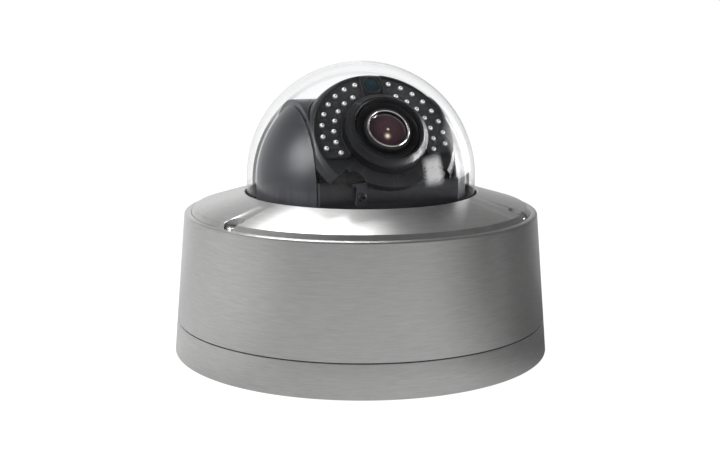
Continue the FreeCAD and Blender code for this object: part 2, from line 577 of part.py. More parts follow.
def camera_module():
    """Everything that tilts but doesn't roll."""
    bracket_screw = screw(2.2, 1.5, 1.1, 6.6, 1.6)
    tab_screw = turn(screw(2.0, 1.3, 0.95, 5.0, 1.6), 90, V(1, 0, 0))
    tab_screw = levelled(moved(tab_screw, TAB_SCREW[0], -TAB_FRONT, TAB_SCREW[1]))
    hood = turned((15.5, 36.9), (20.3, 36.9), (20.3, 38.4), (19.6, 38.4), (19.6, 44.4), (19.0, 45.4), (17.35, 46.4),
                  ((16.95, 47.0), (16.3, HOOD_Z)), ((15.85, 47.1), (15.5, 46.6)))
    panels, boards, lamps = [], [], []
    for side in (-1, 1):
        panel = panel_area(side, PANEL_INNER + 0.08, PANEL_OUTER - 0.08, 0.08, 38.3, 39.5)
        for x, y in lamp_places(side):
            panel = panel.cut(rod(LAMP_RADIUS + 0.15, 38, 40, x, y))
            lamps.append(fused(rod(LAMP_RADIUS, 36.8, 39.2, x, y),
                               Part.makeSphere(LAMP_RADIUS, V(x, y, 39.2), V(0, 0, 1), 0, 90, 360)))
        panels.append(panel)
        boards.append(panel_area(side, 21.8, 31.4, 0.8, 35.6, 36.8))
    window = turned((0, 39.5), (3.6, 39.5), (3.6, 40.1), domed(3.6, 40.1, 40.5))
    lock = cross_rod(2.9, 38.0, 40.1, *lock_place()).fuse(lock_axis(1.45, 31.5, 38.0)).removeSplitter()
    return {
        "face_mask": face_mask(),
        "module_shell": module_shell(),
        "lens_hood": hood,
        "lamp_panels": group(panels),
        "lamp_boards": group(boards),
        "infrared_lamps": group(lamps),
        "light_sensor_window": moved(window, 0, SENSOR_HEIGHT),
        "lens_bracket": lens_bracket(),
        "bracket_screws": group([moved(bracket_screw, 25.5, 0, 30.5), moved(bracket_screw, -25.5, 0, 30.5),
                                 tab_screw]),
        "tilt_lock_screw": lock,
    }


def lock_place():
    """(y, z) of the tilt lock screw in the module frame."""
    angle = math.radians(LOCK_REST - ELEVATION)
    return LOCK_ARC * math.sin(angle), LOCK_ARC * math.cos(angle)


# ---- lens, in the module frame ----
def toothed(teeth, low, high, phase=0.0):
    """Gear blank with straight-sided teeth, slimmer than half the pitch for backlash."""
    pitch_radius = teeth * GEAR_MODULE / 2
    root, tip = pitch_radius - 1.15 * GEAR_MODULE, pitch_radius + 0.8 * GEAR_MODULE
    pitch_angle = 360.0 / teeth
    points = []
    for k in range(teeth):
        middle = phase + k * pitch_angle
        for radius, share in ((root, -0.33), (tip, -0.10), (tip, 0.10), (root, 0.33)):
            points.append(polar(radius, middle + share * pitch_angle))
    return prism(points, low, high)


def lens_barrel():
    """Main barrel with a dished front, a bearing land, tracks for the two rings and motor lugs."""
    barrel = turned((11.0, 43.0), (14.6, 45.3), (14.6, 31.0), (17.0, 31.0), (17.0, 27.0), (14.0, 27.0),
                    (14.0, 8.0), (18.0, 8.0), (18.0, 4.2), (8.0, 4.2), (8.0, 31.4), (11.0, 31.4))
    for angle, low, high in ((ZOOM_MOTOR_ANGLE, 14.0, 15.2), (FOCUS_MOTOR_ANGLE, 6.6, 8.0)):
        x, y = polar(GEAR_CENTRES, angle)
        neck = turn(block(10, GEAR_CENTRES, -4.5, 4.5, low, high), angle)
        lug = fused(neck, rod(4.5, low, high, x, y)).cut(rod(1.0, 0, 30, x, y)).cut(rod(12.0, 0, 30))
        barrel = barrel.fuse(lug)
    return barrel.removeSplitter()


def lens_motors():
    """Two small motors behind their lugs, with shafts."""
    def motor(angle, lug_low, shaft_high):
        x, y = polar(GEAR_CENTRES, angle)
        return fused(rod(4.4, lug_low - 9.0, lug_low, x, y), rod(0.75, lug_low - 1, shaft_high, x, y))
    return group([motor(ZOOM_MOTOR_ANGLE, 14.0, 21.0), motor(FOCUS_MOTOR_ANGLE, 6.6, 13.9)])


def pinion(angle, low):
    """Pinion in mesh with its ring at rest, bored for the motor shaft."""
    half_pitch = 180.0 / PINION_TEETH
    blank = toothed(PINION_TEETH, low, low + GEAR_WIDTH, 180 + half_pitch)
    blank = blank.cut(rod(0.8, low - 1, low + GEAR_WIDTH + 1))
    return moved(turn(blank, angle), *polar(GEAR_CENTRES, angle))


def gear_ring(angle, low):
    """Toothed ring on the barrel's track, a tooth facing its pinion."""
    return turn(toothed(RING_TEETH, low, low + GEAR_WIDTH), angle).cut(rod(14.0 + RUNNING, low - 1, low + 20))


def lens():
    """Everything that rolls: barrel, rings, pinions, front group, filter changer and image sensor."""
    housing_box = block(-15.5, 15.5, -8.5, 8.5, -3.0, 4.1).cut(rod(5.5, -4, 5))
    housing_box = housing_box.cut(block(-14.5, 14.5, -5.4, 5.4, -0.6, 0.9))
    slider = block(-13.5, 5.5, -5.2, 5.2, -0.4, 0.7)
    cell = ring(9.2, 10.9, 35.0, 46.2).fuse(ring(6.5, 10.9, 35.0, 36.5)).removeSplitter()
    glass = turned((0, 41.5), (9.1, 41.5), (9.1, 45.3), domed(9.1, 45.3, 46.8))
    bright = turned((9.0, 46.25), (10.25, 46.25), (10.25, 46.7), ((9.7, 47.1), (9.0, 46.8)))
    return {
        "lens_barrel": lens_barrel(),
        "lens_motors": lens_motors(),
        "zoom_ring": gear_ring(ZOOM_MOTOR_ANGLE, ZOOM_GEAR_Z),
        "zoom_pinion": pinion(ZOOM_MOTOR_ANGLE, ZOOM_GEAR_Z),
        "focus_ring": gear_ring(FOCUS_MOTOR_ANGLE, FOCUS_GEAR_Z),
        "focus_pinion": pinion(FOCUS_MOTOR_ANGLE, FOCUS_GEAR_Z),
        "front_cell": cell,
        "front_ring": bright,
        "front_lens": glass,
        "filter_changer": housing_box,
        "filter_slider": slider,
        "image_sensor": block(-5.5, 5.5, -4.5, 4.5, -4.3, -3.1),
        "sensor_board": block(-16, 16, -14, 14, -5.9, -4.3),
    }


def main():
    os.makedirs("parts", exist_ok=True)
    nodes = {**housing(), **cable_gland(), **cover(), **chassis(), **electronics()}
    nodes.update({name: in_turret(shape) for name, shape in pan_stage().items()})
    nodes.update({name: in_module(shape) for name, shape in {**camera_module(), **lens()}.items()})
    for name, shape in sorted(nodes.items()):
        solids = shape.Solids
        sound = shape.isValid() and solids and all(s.isClosed() and s.Volume > 0 for s in solids)
        print(f"{name:22s} {len(solids):3d} solids {shape.Volume / 1000:9.2f} cm3 {'' if sound else 'NOT SOUND'}")
        shape.exportStep(f"parts/{name}.step")
    print(len(nodes), "nodes")


main()
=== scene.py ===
"""Looks of a surface-mounted dome camera: brushed steel housing, clear dome and an infrared gimbal camera."""
import json
import logging
import math
from dataclasses import dataclass, field
from enum import Enum
from typing import Callable, Iterable, Sequence

import bpy
from mathutils import Matrix, Vector

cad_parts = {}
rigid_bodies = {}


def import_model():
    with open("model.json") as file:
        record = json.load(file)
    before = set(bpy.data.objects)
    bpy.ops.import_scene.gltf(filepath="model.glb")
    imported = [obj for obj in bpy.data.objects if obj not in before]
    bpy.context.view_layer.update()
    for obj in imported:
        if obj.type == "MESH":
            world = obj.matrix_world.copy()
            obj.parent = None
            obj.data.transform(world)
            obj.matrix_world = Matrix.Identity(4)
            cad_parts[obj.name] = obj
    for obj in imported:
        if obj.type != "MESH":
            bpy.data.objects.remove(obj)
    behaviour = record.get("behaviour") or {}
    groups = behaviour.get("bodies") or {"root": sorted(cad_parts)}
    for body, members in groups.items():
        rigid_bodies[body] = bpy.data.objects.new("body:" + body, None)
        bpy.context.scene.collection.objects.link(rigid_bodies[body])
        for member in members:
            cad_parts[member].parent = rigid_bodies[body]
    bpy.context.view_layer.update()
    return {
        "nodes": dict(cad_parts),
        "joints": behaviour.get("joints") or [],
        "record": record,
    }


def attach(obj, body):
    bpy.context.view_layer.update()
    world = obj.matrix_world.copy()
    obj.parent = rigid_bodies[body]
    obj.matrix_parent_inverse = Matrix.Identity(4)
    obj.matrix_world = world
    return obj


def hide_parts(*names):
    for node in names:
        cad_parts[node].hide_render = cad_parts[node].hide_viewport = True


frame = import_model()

log = logging.getLogger("dome_camera")

MM = 0.001
Point = tuple[float, ...]
Colour = tuple[float, float, float]
Band = tuple[tuple[float, float], ...]


# ---------------------------------------------------------------- frames
class Space(Enum):
    """The frame that a piece is modelled in."""

    ROW = "row"
    TURRET = "turret"
    MODULE = "module"


@dataclass(frozen=True)
class Frames:
    """The turret's and the camera module's frames, read from the joints."""

    centre: Vector
    tilt_axis: Vector
    optical_axis: Vector

    @classmethod
    def read(cls, joints: Sequence[dict]) -> "Frames":
        """Reads the frames.

        Args:
            joints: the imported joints.

        Returns:
            The frames of the gimbal at rest.
        """
        by_name = {joint["name"]: joint for joint in joints}
        tilt, roll = by_name["tilt"], by_name["roll"]
        side, optical = -Vector(tilt["axis"]).normalized(), Vector(roll["axis"]).normalized()
        return cls(Vector(tilt["pos_m"]), side, optical)

    def matrix(self, space: Space) -> Matrix:
        """Matrix from a modelling frame, in metres, to the row frame.

        Args:
            space: the modelling frame.

        Returns:
            A rigid 4x4 matrix.
        """
        if space is Space.ROW:
            return Matrix.Identity(4)
        side = self.tilt_axis
        up = Vector((0, 0, 1)) if space is Space.TURRET else self.optical_axis
        turn = Matrix((side, up.cross(side), up)).transposed().to_4x4()
        return Matrix.Translation(self.centre) @ turn


FRAMES = Frames.read(frame["joints"])


# ---------------------------------------------------------------- outlines
def polar(radius: float, degrees: float) -> tuple[float, float]:
    """(x, y) at an angle from +X."""
    return radius * math.cos(math.radians(degrees)), radius * math.sin(math.radians(degrees))


def from_top(radius: float, degrees: float) -> tuple[float, float]:
    """(x, y) at an angle from +Y towards +X."""
    return polar(radius, 90.0 - degrees)


def from_front(radius: float, degrees: float) -> tuple[float, float]:
    """(x, y) at an angle from -Y towards +X."""
    return polar(radius, degrees - 90.0)


def arc(centre: Point, radius: float, start: float, end: float, steps: int = 8) -> list[tuple[float, float]]:
    """Points on an arc.

    Args:
        centre: the arc's centre.
        radius: its radius.
        start: first angle from the first axis, in degrees.
        end: last angle.
        steps: number of runs.

    Returns:
        steps + 1 points.
    """
    angles = (start + (end - start) * k / steps for k in range(steps + 1))
    return [tuple(c + p for c, p in zip(centre, polar(radius, angle))) for angle in angles]


def softened(points: Sequence[Point], steps: int = 3) -> list[tuple[float, float]]:
    """Rounds the corners of a closed outline.

    Args:
        points: (x, y) or (x, y, radius) corners.
        steps: number of runs in each rounded corner.

    Returns:
        The outline with its corners rounded.
    """
    made: list[tuple[float, float]] = []
    count = len(points)
    for k, corner in enumerate(points):
        here = Vector(corner[:2])
        radius = corner[2] if len(corner) > 2 else 0.0
        if not radius:
            made.append(tuple(here))
            continue
        back = (Vector(points[k - 1][:2]) - here).normalized()
        ahead = (Vector(points[(k + 1) % count][:2]) - here).normalized()
        half = back.angle(ahead) / 2
        reach = radius / math.tan(half)
        centre = here + (back + ahead).normalized() * (radius / math.sin(half))
        first, last = here + back * reach - centre, here + ahead * reach - centre
        sweep = first.angle_signed(last)
        for j in range(steps + 1):
            spoke = Matrix.Rotation(-sweep * j / steps, 2) @ first
            made.append(tuple(centre + spoke))
    return made


# ---------------------------------------------------------------- modelling
class Bench:
    """Modelling with operators, as by hand. Sizes are in millimetres, in the piece's modelling frame."""

    @staticmethod
    def clear() -> None:
        """Leaves edit mode and deselects everything."""
        if bpy.context.object and bpy.context.object.mode != "OBJECT":
            bpy.ops.object.mode_set(mode="OBJECT")
        bpy.ops.object.select_all(action="DESELECT")

    @classmethod
    def pick(cls, piece: bpy.types.Object) -> None:
        """Selects one piece only."""
        cls.clear()
        piece.select_set(True)
        bpy.context.view_layer.objects.active = piece

    @classmethod
    def edit(cls, piece: bpy.types.Object, everything: bool = True) -> None:
        """Enters edit mode on a piece, with all or nothing selected."""
        cls.pick(piece)
        bpy.ops.object.mode_set(mode="EDIT")
        bpy.ops.mesh.select_all(action="SELECT" if everything else "DESELECT")

    @classmethod
    def loop(cls, name: str, points: Sequence[Point], upright: bool) -> bpy.types.Object:
        """A closed loop of edges, from a circle whose corners are put on an outline.

        Args:
            name: the piece's name.
            points: the outline.
            upright: True for (radius, height) points, False for (x, y) points.

        Returns:
            The new object.
        """
        cls.clear()
        bpy.ops.mesh.primitive_circle_add(vertices=len(points), radius=MM, location=(0, 0, 0))
        piece = bpy.context.object
        piece.name = name
        for vertex, point in zip(piece.data.vertices, points):
            x, y = point[0] * MM, point[1] * MM
            vertex.co = (x, 0, y) if upright else (x, y, 0)
        return piece

    @classmethod
    def lathe(cls, name: str, points: Sequence[Point], steps: int = 192) -> bpy.types.Object:
        """A turned piece.

        Args:
            name: the piece's name.
            points: closed outline of (radius, height) points.
            steps: segments round the axis.

        Returns:
            The new object.
        """
        piece = cls.loop(name, points, upright=True)
        cls.edit(piece)
        bpy.ops.mesh.spin(steps=steps, angle=math.tau, center=(0, 0, 0), axis=(0, 0, 1))
        return cls.close(piece)

    @classmethod
    def close(cls, piece: bpy.types.Object) -> bpy.types.Object:
        """Merges doubles and turns faces outwards."""
        cls.edit(piece)
        bpy.ops.mesh.remove_doubles(threshold=1e-6)
        bpy.ops.mesh.select_all(action="SELECT")
        bpy.ops.mesh.normals_make_consistent(inside=False)
        bpy.ops.object.mode_set(mode="OBJECT")
        return piece

    @classmethod
    def plate(cls, name: str, points: Sequence[Point], low: float, high: float) -> bpy.types.Object:
        """A plate cut to an outline.

        Args:
            name: the piece's name.
            points: closed outline of (x, y) points.
            low: height of its underside.
            high: height of its top.

        Returns:
            The new object.
        """
        piece = cls.loop(name, points, upright=False)
        cls.edit(piece)
        bpy.ops.mesh.edge_face_add()
        bpy.ops.mesh.extrude_region_move(TRANSFORM_OT_translate={"value": (0, 0, (high - low) * MM)})
        bpy.ops.mesh.select_all(action="SELECT")
        bpy.ops.transform.translate(value=(0, 0, low * MM))
        return cls.close(piece)

    @classmethod
    def rod(cls, name: str, radius: float, low: float, high: float, x: float = 0, y: float = 0,
            sides: int = 48) -> bpy.types.Object:
        """An upright cylinder between two heights, to be drilled with or shaped on."""
        cls.clear()
        bpy.ops.mesh.primitive_cylinder_add(vertices=sides, radius=radius * MM, depth=(high - low) * MM,
                                            location=(x * MM, y * MM, (low + high) / 2 * MM))
        bpy.context.object.name = name
        return cls.settle(bpy.context.object)

    @classmethod
    def block(cls, name: str, low: Point, high: Point) -> bpy.types.Object:
        """A box between two corners, to be cut with or shaped on."""
        cls.clear()
        middle = [(a + b) / 2 * MM for a, b in zip(low, high)]
        bpy.ops.mesh.primitive_cube_add(size=1, location=middle)
        piece = bpy.context.object
        piece.name = name
        piece.scale = [(b - a) * MM for a, b in zip(low, high)]
        return cls.settle(piece)

    @classmethod
    def settle(cls, piece: bpy.types.Object) -> bpy.types.Object:
        """Puts a piece's place, turn and size into its mesh."""
        cls.pick(piece)
        bpy.ops.object.transform_apply(location=True, rotation=True, scale=True)
        return piece

    @classmethod
    def combine(cls, piece: bpy.types.Object, tools: Iterable[bpy.types.Object],
                how: str) -> bpy.types.Object:
        """Cuts with, or adds, other shapes and removes them.

        Args:
            piece: the piece to change.
            tools: the shapes to use up.
            how: DIFFERENCE, UNION or INTERSECT.

        Returns:
            The piece.
        """
        for tool in tools:
            cls.pick(piece)
            modifier = piece.modifiers.new("combine", "BOOLEAN")
            modifier.operation = how
            modifier.solver = "EXACT"
            modifier.object = tool
            bpy.ops.object.modifier_apply(modifier=modifier.name)
            bpy.data.objects.remove(tool)
        return piece

    @classmethod
    def soften(cls, piece: bpy.types.Object, width: float, segments: int = 2,
               angle: float = 35) -> bpy.types.Object:
        """Rounds a piece's sharp edges.

        Args:
            piece: the piece.
            width: width of the rounding in millimetres.
            segments: runs across it.
            angle: the sharpness from which edges are rounded, in degrees.

        Returns:
            The piece.
        """
        cls.pick(piece)
        modifier = piece.modifiers.new("soften", "BEVEL")
        modifier.width = width * MM
        modifier.segments = segments
        modifier.limit_method = "ANGLE"
        modifier.angle_limit = math.radians(angle)
        modifier.use_clamp_overlap = True
        modifier.harden_normals = False
        bpy.ops.object.modifier_apply(modifier=modifier.name)
        return piece

    @classmethod
    def smooth(cls, piece: bpy.types.Object, angle: float = 30) -> bpy.types.Object:
        """Shades a piece smooth up to an edge angle in degrees."""
        cls.pick(piece)
        bpy.ops.object.shade_smooth_by_angle(angle=math.radians(angle))
        return piece

    @classmethod
    def copy(cls, piece: bpy.types.Object, name: str, x: float = 0, y: float = 0) -> bpy.types.Object:
        """A copy with its own mesh, moved sideways."""
        twin = piece.copy()
        twin.data = piece.data.copy()
        twin.name = name
        bpy.context.scene.collection.objects.link(twin)
        twin.data.transform(Matrix.Translation((x * MM, y * MM, 0)))
        return twin

    @classmethod
    def place(cls, piece: bpy.types.Object, space: Space) -> bpy.types.Object:
        """Takes a piece from its modelling frame to the row frame."""
        piece.matrix_world = FRAMES.matrix(space)
        return cls.settle(piece)


# ---------------------------------------------------------------- shader helpers
class Board:
    """A node tree being wired up."""

    def __init__(self, tree: bpy.types.NodeTree) -> None:
        """Keeps the tree."""
        self.tree = tree

    def node(self, kind: str, **values: object) -> bpy.types.Node:
        """Adds a node.

        Args:
            kind: the node's type, without its ShaderNode prefix.
            values: attributes, or inputs by name with underscores for spaces. A socket is linked.

        Returns:
            The node.
        """
        node = self.tree.nodes.new("ShaderNode" + kind)
        for key, value in values.items():
            if hasattr(node, key) and not key[0].isupper():
                setattr(node, key, value)
            else:
                self.set(node, key.replace("_", " "), value)
        return node

    def set(self, node: bpy.types.Node, name: str | int, value: object) -> None:
        """Gives an input a value or a link."""
        socket = node.inputs[name]
        if isinstance(value, bpy.types.NodeSocket):
            self.tree.links.new(value, socket)
        elif isinstance(value, (tuple, list)) and len(value) == 3 and socket.type == "RGBA":
            socket.default_value = (*value, 1.0)
        else:
            socket.default_value = value

    def math(self, operation: str, *inputs: object, clamp: bool = False) -> bpy.types.NodeSocket:
        """Adds a Math node and returns its result."""
        node = self.tree.nodes.new("ShaderNodeMath")
        node.operation = operation
        node.use_clamp = clamp
        for k, value in enumerate(inputs):
            self.set(node, k, value)
        return node.outputs[0]

    def ramp(self, factor: bpy.types.NodeSocket, stops: Sequence[tuple[float, float | Colour]],
             smooth: bool = False) -> bpy.types.NodeSocket:
        """Adds a colour ramp.

        Args:
            factor: its input.
            stops: (place, grey or colour) pairs.
            smooth: True to ease between the stops.

        Returns:
            The ramp's colour.
        """
        node = self.node("ValToRGB", Fac=factor)
        band = node.color_ramp
        band.interpolation = "EASE" if smooth else "LINEAR"
        while len(band.elements) < len(stops):
            band.elements.new(0.5)
        for element, (place, value) in zip(band.elements, stops):
            element.position = place
            element.color = (*value, 1) if isinstance(value, tuple) else (value, value, value, 1)
        return node.outputs["Color"]

    def mix(self, factor: object, a: object, b: object, how: str = "MIX") -> bpy.types.NodeSocket:
        """Adds a colour mix and returns its result."""
        node = self.tree.nodes.new("ShaderNodeMix")
        node.data_type = "RGBA"
        node.blend_type = how
        for socket, value in ((node.inputs[0], factor), (node.inputs[6], a), (node.inputs[7], b)):
            if isinstance(value, bpy.types.NodeSocket):
                self.tree.links.new(value, socket)
            else:
                socket.default_value = (*value, 1.0) if isinstance(value, tuple) else value
        return node.outputs[2]

    def group(self, effect: bpy.types.NodeTree, **values: object) -> bpy.types.Node:
        """Places a shared effect."""
        node = self.tree.nodes.new("ShaderNodeGroup")
        node.node_tree = effect
        for key, value in values.items():
            self.set(node, key.replace("_", " "), value)
        return node


@dataclass
class SharedEffects:
    """Node groups that several finishes use, each built once."""

    made: dict[str, bpy.types.NodeTree] = field(default_factory=dict)

    def get(self, name: str, inputs: dict[str, float | str], outputs: Sequence[str],
            wire: Callable[[Board, bpy.types.Node, bpy.types.Node], None]) -> bpy.types.NodeTree:
        """Builds an effect the first time it is asked for.

        Args:
            name: the group's name.
            inputs: input names with default numbers, or "vector" for a vector.
            outputs: output names, all numbers.
            wire: wires the inside.

        Returns:
            The node group.
        """
        if name not in self.made:
            tree = bpy.data.node_groups.new(name, "ShaderNodeTree")
            for key, value in inputs.items():
                kind = "NodeSocketVector" if value == "vector" else "NodeSocketFloat"
                socket = tree.interface.new_socket(name=key, in_out="INPUT", socket_type=kind)
                if value != "vector":
                    socket.default_value = value
            for key in outputs:
                tree.interface.new_socket(name=key, in_out="OUTPUT", socket_type="NodeSocketFloat")
            wire(Board(tree), tree.nodes.new("NodeGroupInput"), tree.nodes.new("NodeGroupOutput"))
            self.made[name] = tree
        return self.made[name]

    def grain(self) -> bpy.types.NodeTree:
        """Fine moulded grain with broader unevenness."""
        def wire(board: Board, inside: bpy.types.Node, out: bpy.types.Node) -> None:
            fine = board.node("TexNoise", Vector=inside.outputs["Vector"], Scale=inside.outputs["Scale"],
                              Detail=3.0, Roughness=0.6)
            broad = board.node("TexNoise", Vector=inside.outputs["Vector"],
                               Scale=board.math("MULTIPLY", inside.outputs["Scale"], 0.06), Detail=2.0)
            board.set(out, "Height", board.math("MULTIPLY", fine.outputs[0], inside.outputs["Strength"]))
            board.set(out, "Broad", broad.outputs[0])
            board.set(out, "Fine", fine.outputs[0])
        return self.get("grain", {"Vector": "vector", "Scale": 900.0, "Strength": 1.0},
                        ("Height", "Broad", "Fine"), wire)

    def lathe_lines(self) -> bpy.types.NodeTree:
        """Streaks that run round Z, as left by a brush on a turning part."""
        def wire(board: Board, inside: bpy.types.Node, out: bpy.types.Node) -> None:
            place = board.node("SeparateXYZ", Vector=inside.outputs["Vector"])
            x, y, z = place.outputs
            squares = [board.math("MULTIPLY", side, side) for side in (x, y)]
            radius = board.math("SQRT", board.math("ADD", *squares))
            safe = board.math("MAXIMUM", radius, 1e-5)
            run = inside.outputs["Run"]
            across = board.math("MULTIPLY", board.math("ADD", z, radius), inside.outputs["Fineness"])
            spot = board.node("CombineXYZ", X=board.math("MULTIPLY", board.math("DIVIDE", x, safe), run),
                              Y=board.math("MULTIPLY", board.math("DIVIDE", y, safe), run), Z=across)
            fine = board.node("TexNoise", Vector=spot.outputs[0], Scale=1.0, Detail=3.0, Roughness=0.65)
            long_spot = board.node("VectorMath", operation="MULTIPLY")
            board.set(long_spot, 0, spot.outputs[0])
            long_spot.inputs[1].default_value = (0.8, 0.8, 0.5)
            broad = board.node("TexNoise", Vector=long_spot.outputs[0], Scale=1.0, Detail=2.0)
            board.set(out, "Fine", fine.outputs[0])
            board.set(out, "Broad", broad.outputs[0])
        return self.get("lathe lines", {"Vector": "vector", "Run": 11.0, "Fineness": 1900.0},
                        ("Fine", "Broad"), wire)

    def wear(self) -> bpy.types.NodeTree:
        """Light rubbing on outer edges, broken up by noise; where the amount is high, as on the hood, it is
        also a painted edge highlight.
        """
        def wire(board: Board, inside: bpy.types.Node, out: bpy.types.Node) -> None:
            point = board.node("NewGeometry").outputs["Pointiness"]
            edge = board.node("MapRange", Value=point)
            for name, value in (("From Min", 0.515), ("From Max", 0.60)):
                edge.inputs[name].default_value = value
            speck = board.node("TexNoise", Vector=inside.outputs["Vector"], Scale=700.0, Detail=2.0)
            broken = board.math("MULTIPLY", edge.outputs[0], speck.outputs[0])
            board.set(out, "Mask", board.math("MULTIPLY", broken, inside.outputs["Amount"], clamp=True))
        return self.get("edge wear", {"Vector": "vector", "Amount": 1.0}, ("Mask",), wire)

    def dust(self) -> bpy.types.NodeTree:
        """Sparse small specks."""
        def wire(board: Board, inside: bpy.types.Node, out: bpy.types.Node) -> None:
            cells = board.node("TexVoronoi", Vector=inside.outputs["Vector"], Scale=inside.outputs["Scale"])
            near = board.math("LESS_THAN", cells.outputs["Distance"], inside.outputs["Size"])
            tone = board.node("SeparateColor", Color=cells.outputs["Color"]).outputs[0]
            board.set(out, "Mask", board.math("MULTIPLY", near, board.math("GREATER_THAN", tone, 0.55)))
            board.set(out, "Tone", tone)
        return self.get("dust", {"Vector": "vector", "Scale": 1500.0, "Size": 0.2}, ("Mask", "Tone"), wire)


EFFECTS = SharedEffects()


# ---------------------------------------------------------------- finishes
@dataclass(frozen=True)
class Finish:
    """A surface finish. Subclasses wire the detail that it shows."""

    name: str
    colour: Colour
    roughness: float = 0.5
    coat: float = 0.0

    def build(self) -> bpy.types.Material:
        """Builds the material.

        Returns:
            The material, shared by every piece with this finish.
        """
        name = f"{self.name}_finish"
        known = bpy.data.materials.get(name)
        if known:
            return known
        material = bpy.data.materials.new(name)
        material.use_nodes = True
        material.node_tree.nodes.clear()
        board = Board(material.node_tree)
        shader = board.node("BsdfPrincipled")
        shader.inputs["Coat Weight"].default_value = self.coat
        shader.inputs["Coat Roughness"].default_value = 0.12
        out = board.node("OutputMaterial")
        place = board.node("TexCoord").outputs["Object"]
        self.wire(board, shader, place)
        board.set(out, "Surface", self.surface(board, shader))
        return material

    def wire(self, board: Board, shader: bpy.types.Node, place: bpy.types.NodeSocket) -> None:
        """Wires colour, roughness and relief into the shader."""
        raise NotImplementedError

    def surface(self, board: Board, shader: bpy.types.Node) -> bpy.types.NodeSocket:
        """The socket that goes to the surface output."""
        return shader.outputs[0]

    def relief(self, board: Board, shader: bpy.types.Node, height: bpy.types.NodeSocket,
               depth: float) -> None:
        """Adds relief of a depth in millimetres."""
        bump = board.node("Bump", Height=height, Strength=1.0, Distance=depth * MM)
        board.set(shader, "Normal", bump.outputs[0])


@dataclass(frozen=True)
class BrushedSteel(Finish):
    """Stainless steel brushed round its axis, with a satin spread across the lines."""

    spread: float = 0.75
    contrast: float = 0.34
    clouding: float = 0.06
    worn: Colour = (0.86, 0.86, 0.85)

    def wire(self, board: Board, shader: bpy.types.Node, place: bpy.types.NodeSocket) -> None:
        """Wires the brushed lines, soft unevenness and the direction of the lines."""
        lines = board.group(EFFECTS.lathe_lines(), Vector=place)
        cloud = board.group(EFFECTS.grain(), Vector=place, Scale=120.0)
        wear = board.group(EFFECTS.wear(), Vector=place, Amount=0.7)
        tone = board.math("ADD", board.math("MULTIPLY", lines.outputs["Fine"], self.contrast),
                          board.math("MULTIPLY", lines.outputs["Broad"], self.contrast * 0.5))
        tone = board.math("ADD", tone, board.math("MULTIPLY", cloud.outputs["Broad"], self.clouding))
        tone = board.math("ADD", tone, 1.0 - self.contrast * 0.75 - self.clouding / 2)
        grey = board.node("CombineColor", Red=tone, Green=tone, Blue=tone).outputs[0]
        worn = board.mix(wear.outputs["Mask"], self.colour, self.worn)
        board.set(shader, "Base Color", board.mix(1.0, worn, grey, "MULTIPLY"))
        rough = board.math("ADD", self.roughness - 0.05, board.math("MULTIPLY", lines.outputs["Broad"], 0.10))
        board.set(shader, "Roughness", rough)
        board.set(shader, "Metallic", 1.0)
        board.set(shader, "Anisotropic", self.spread)
        shader.inputs["Anisotropic Rotation"].default_value = 0.25
        spot = board.node("SeparateXYZ", Vector=place)
        round_z = board.node("CombineXYZ", X=board.math("MULTIPLY", spot.outputs[1], -1.0), Y=spot.outputs[0])
        to_world = board.node("VectorTransform", vector_type="VECTOR", convert_from="OBJECT",
                              convert_to="WORLD", Vector=round_z.outputs[0])
        board.set(shader, "Tangent", to_world.outputs[0])
        self.relief(board, shader, lines.outputs["Fine"], 0.012)


@dataclass(frozen=True)
class MachinedMetal(Finish):
    """Plain turned, plated or anodised metal with fine scratches."""

    grain: float = 700.0
    worn: Colour = (0.9, 0.9, 0.88)

    def wire(self, board: Board, shader: bpy.types.Node, place: bpy.types.NodeSocket) -> None:
        """Wires fine scratches, cloudy tone and worn edges."""
        fine = board.group(EFFECTS.grain(), Vector=place, Scale=self.grain)
        wear = board.group(EFFECTS.wear(), Vector=place, Amount=1.0)
        dark = tuple(c * 0.72 for c in self.colour)
        tone = board.mix(fine.outputs["Broad"], dark, self.colour)
        board.set(shader, "Base Color", board.mix(wear.outputs["Mask"], tone, self.worn))
        spread = board.math("ADD", self.roughness - 0.08, board.math("MULTIPLY", fine.outputs["Fine"], 0.18))
        board.set(shader, "Roughness", spread)
        board.set(shader, "Metallic", 1.0)
        self.relief(board, shader, fine.outputs["Fine"], 0.01)


@dataclass(frozen=True)
class MouldedPlastic(Finish):
    """Moulded plastic or rubber: fine grain, slight clouding, lighter worn edges that are also a painted
    highlight where strong, and a little dust.
    """

    grain: float = 1400.0
    depth: float = 0.012
    edge: float = 0.25
    dusting: float = 0.05
    gleam: float = 0.5
    bend: float = 1.5

    def wire(self, board: Board, shader: bpy.types.Node, place: bpy.types.NodeSocket) -> None:
        """Wires grain, clouding, edge rubbing with its painted highlight where strong, and dust."""
        fine = board.group(EFFECTS.grain(), Vector=place, Scale=self.grain)
        wear = board.group(EFFECTS.wear(), Vector=place, Amount=self.edge)
        dust = board.group(EFFECTS.dust(), Vector=place, Scale=900.0, Size=0.10)
        light = tuple(min(1.0, c * 1.25 + 0.004) for c in self.colour)
        dark = tuple(c * 0.8 for c in self.colour)
        tone = board.mix(fine.outputs["Broad"], dark, light)
        shader.inputs["Specular IOR Level"].default_value = self.gleam
        shader.inputs["IOR"].default_value = self.bend
        # lighter edges: wear, and a painted edge highlight where the edge amount is high
        rubbed_and_highlight = tuple(min(1.0, c * 1.5 + 0.12) for c in self.colour)
        tone = board.mix(wear.outputs["Mask"], tone, rubbed_and_highlight)
        speck = board.math("MULTIPLY", dust.outputs["Mask"], self.dusting)
        board.set(shader, "Base Color", board.mix(speck, tone, (0.5, 0.5, 0.48)))
        spread = board.math("ADD", self.roughness - 0.05, board.math("MULTIPLY", fine.outputs["Fine"], 0.07))
        board.set(shader, "Roughness", spread)
        self.relief(board, shader, fine.outputs["Fine"], self.depth)


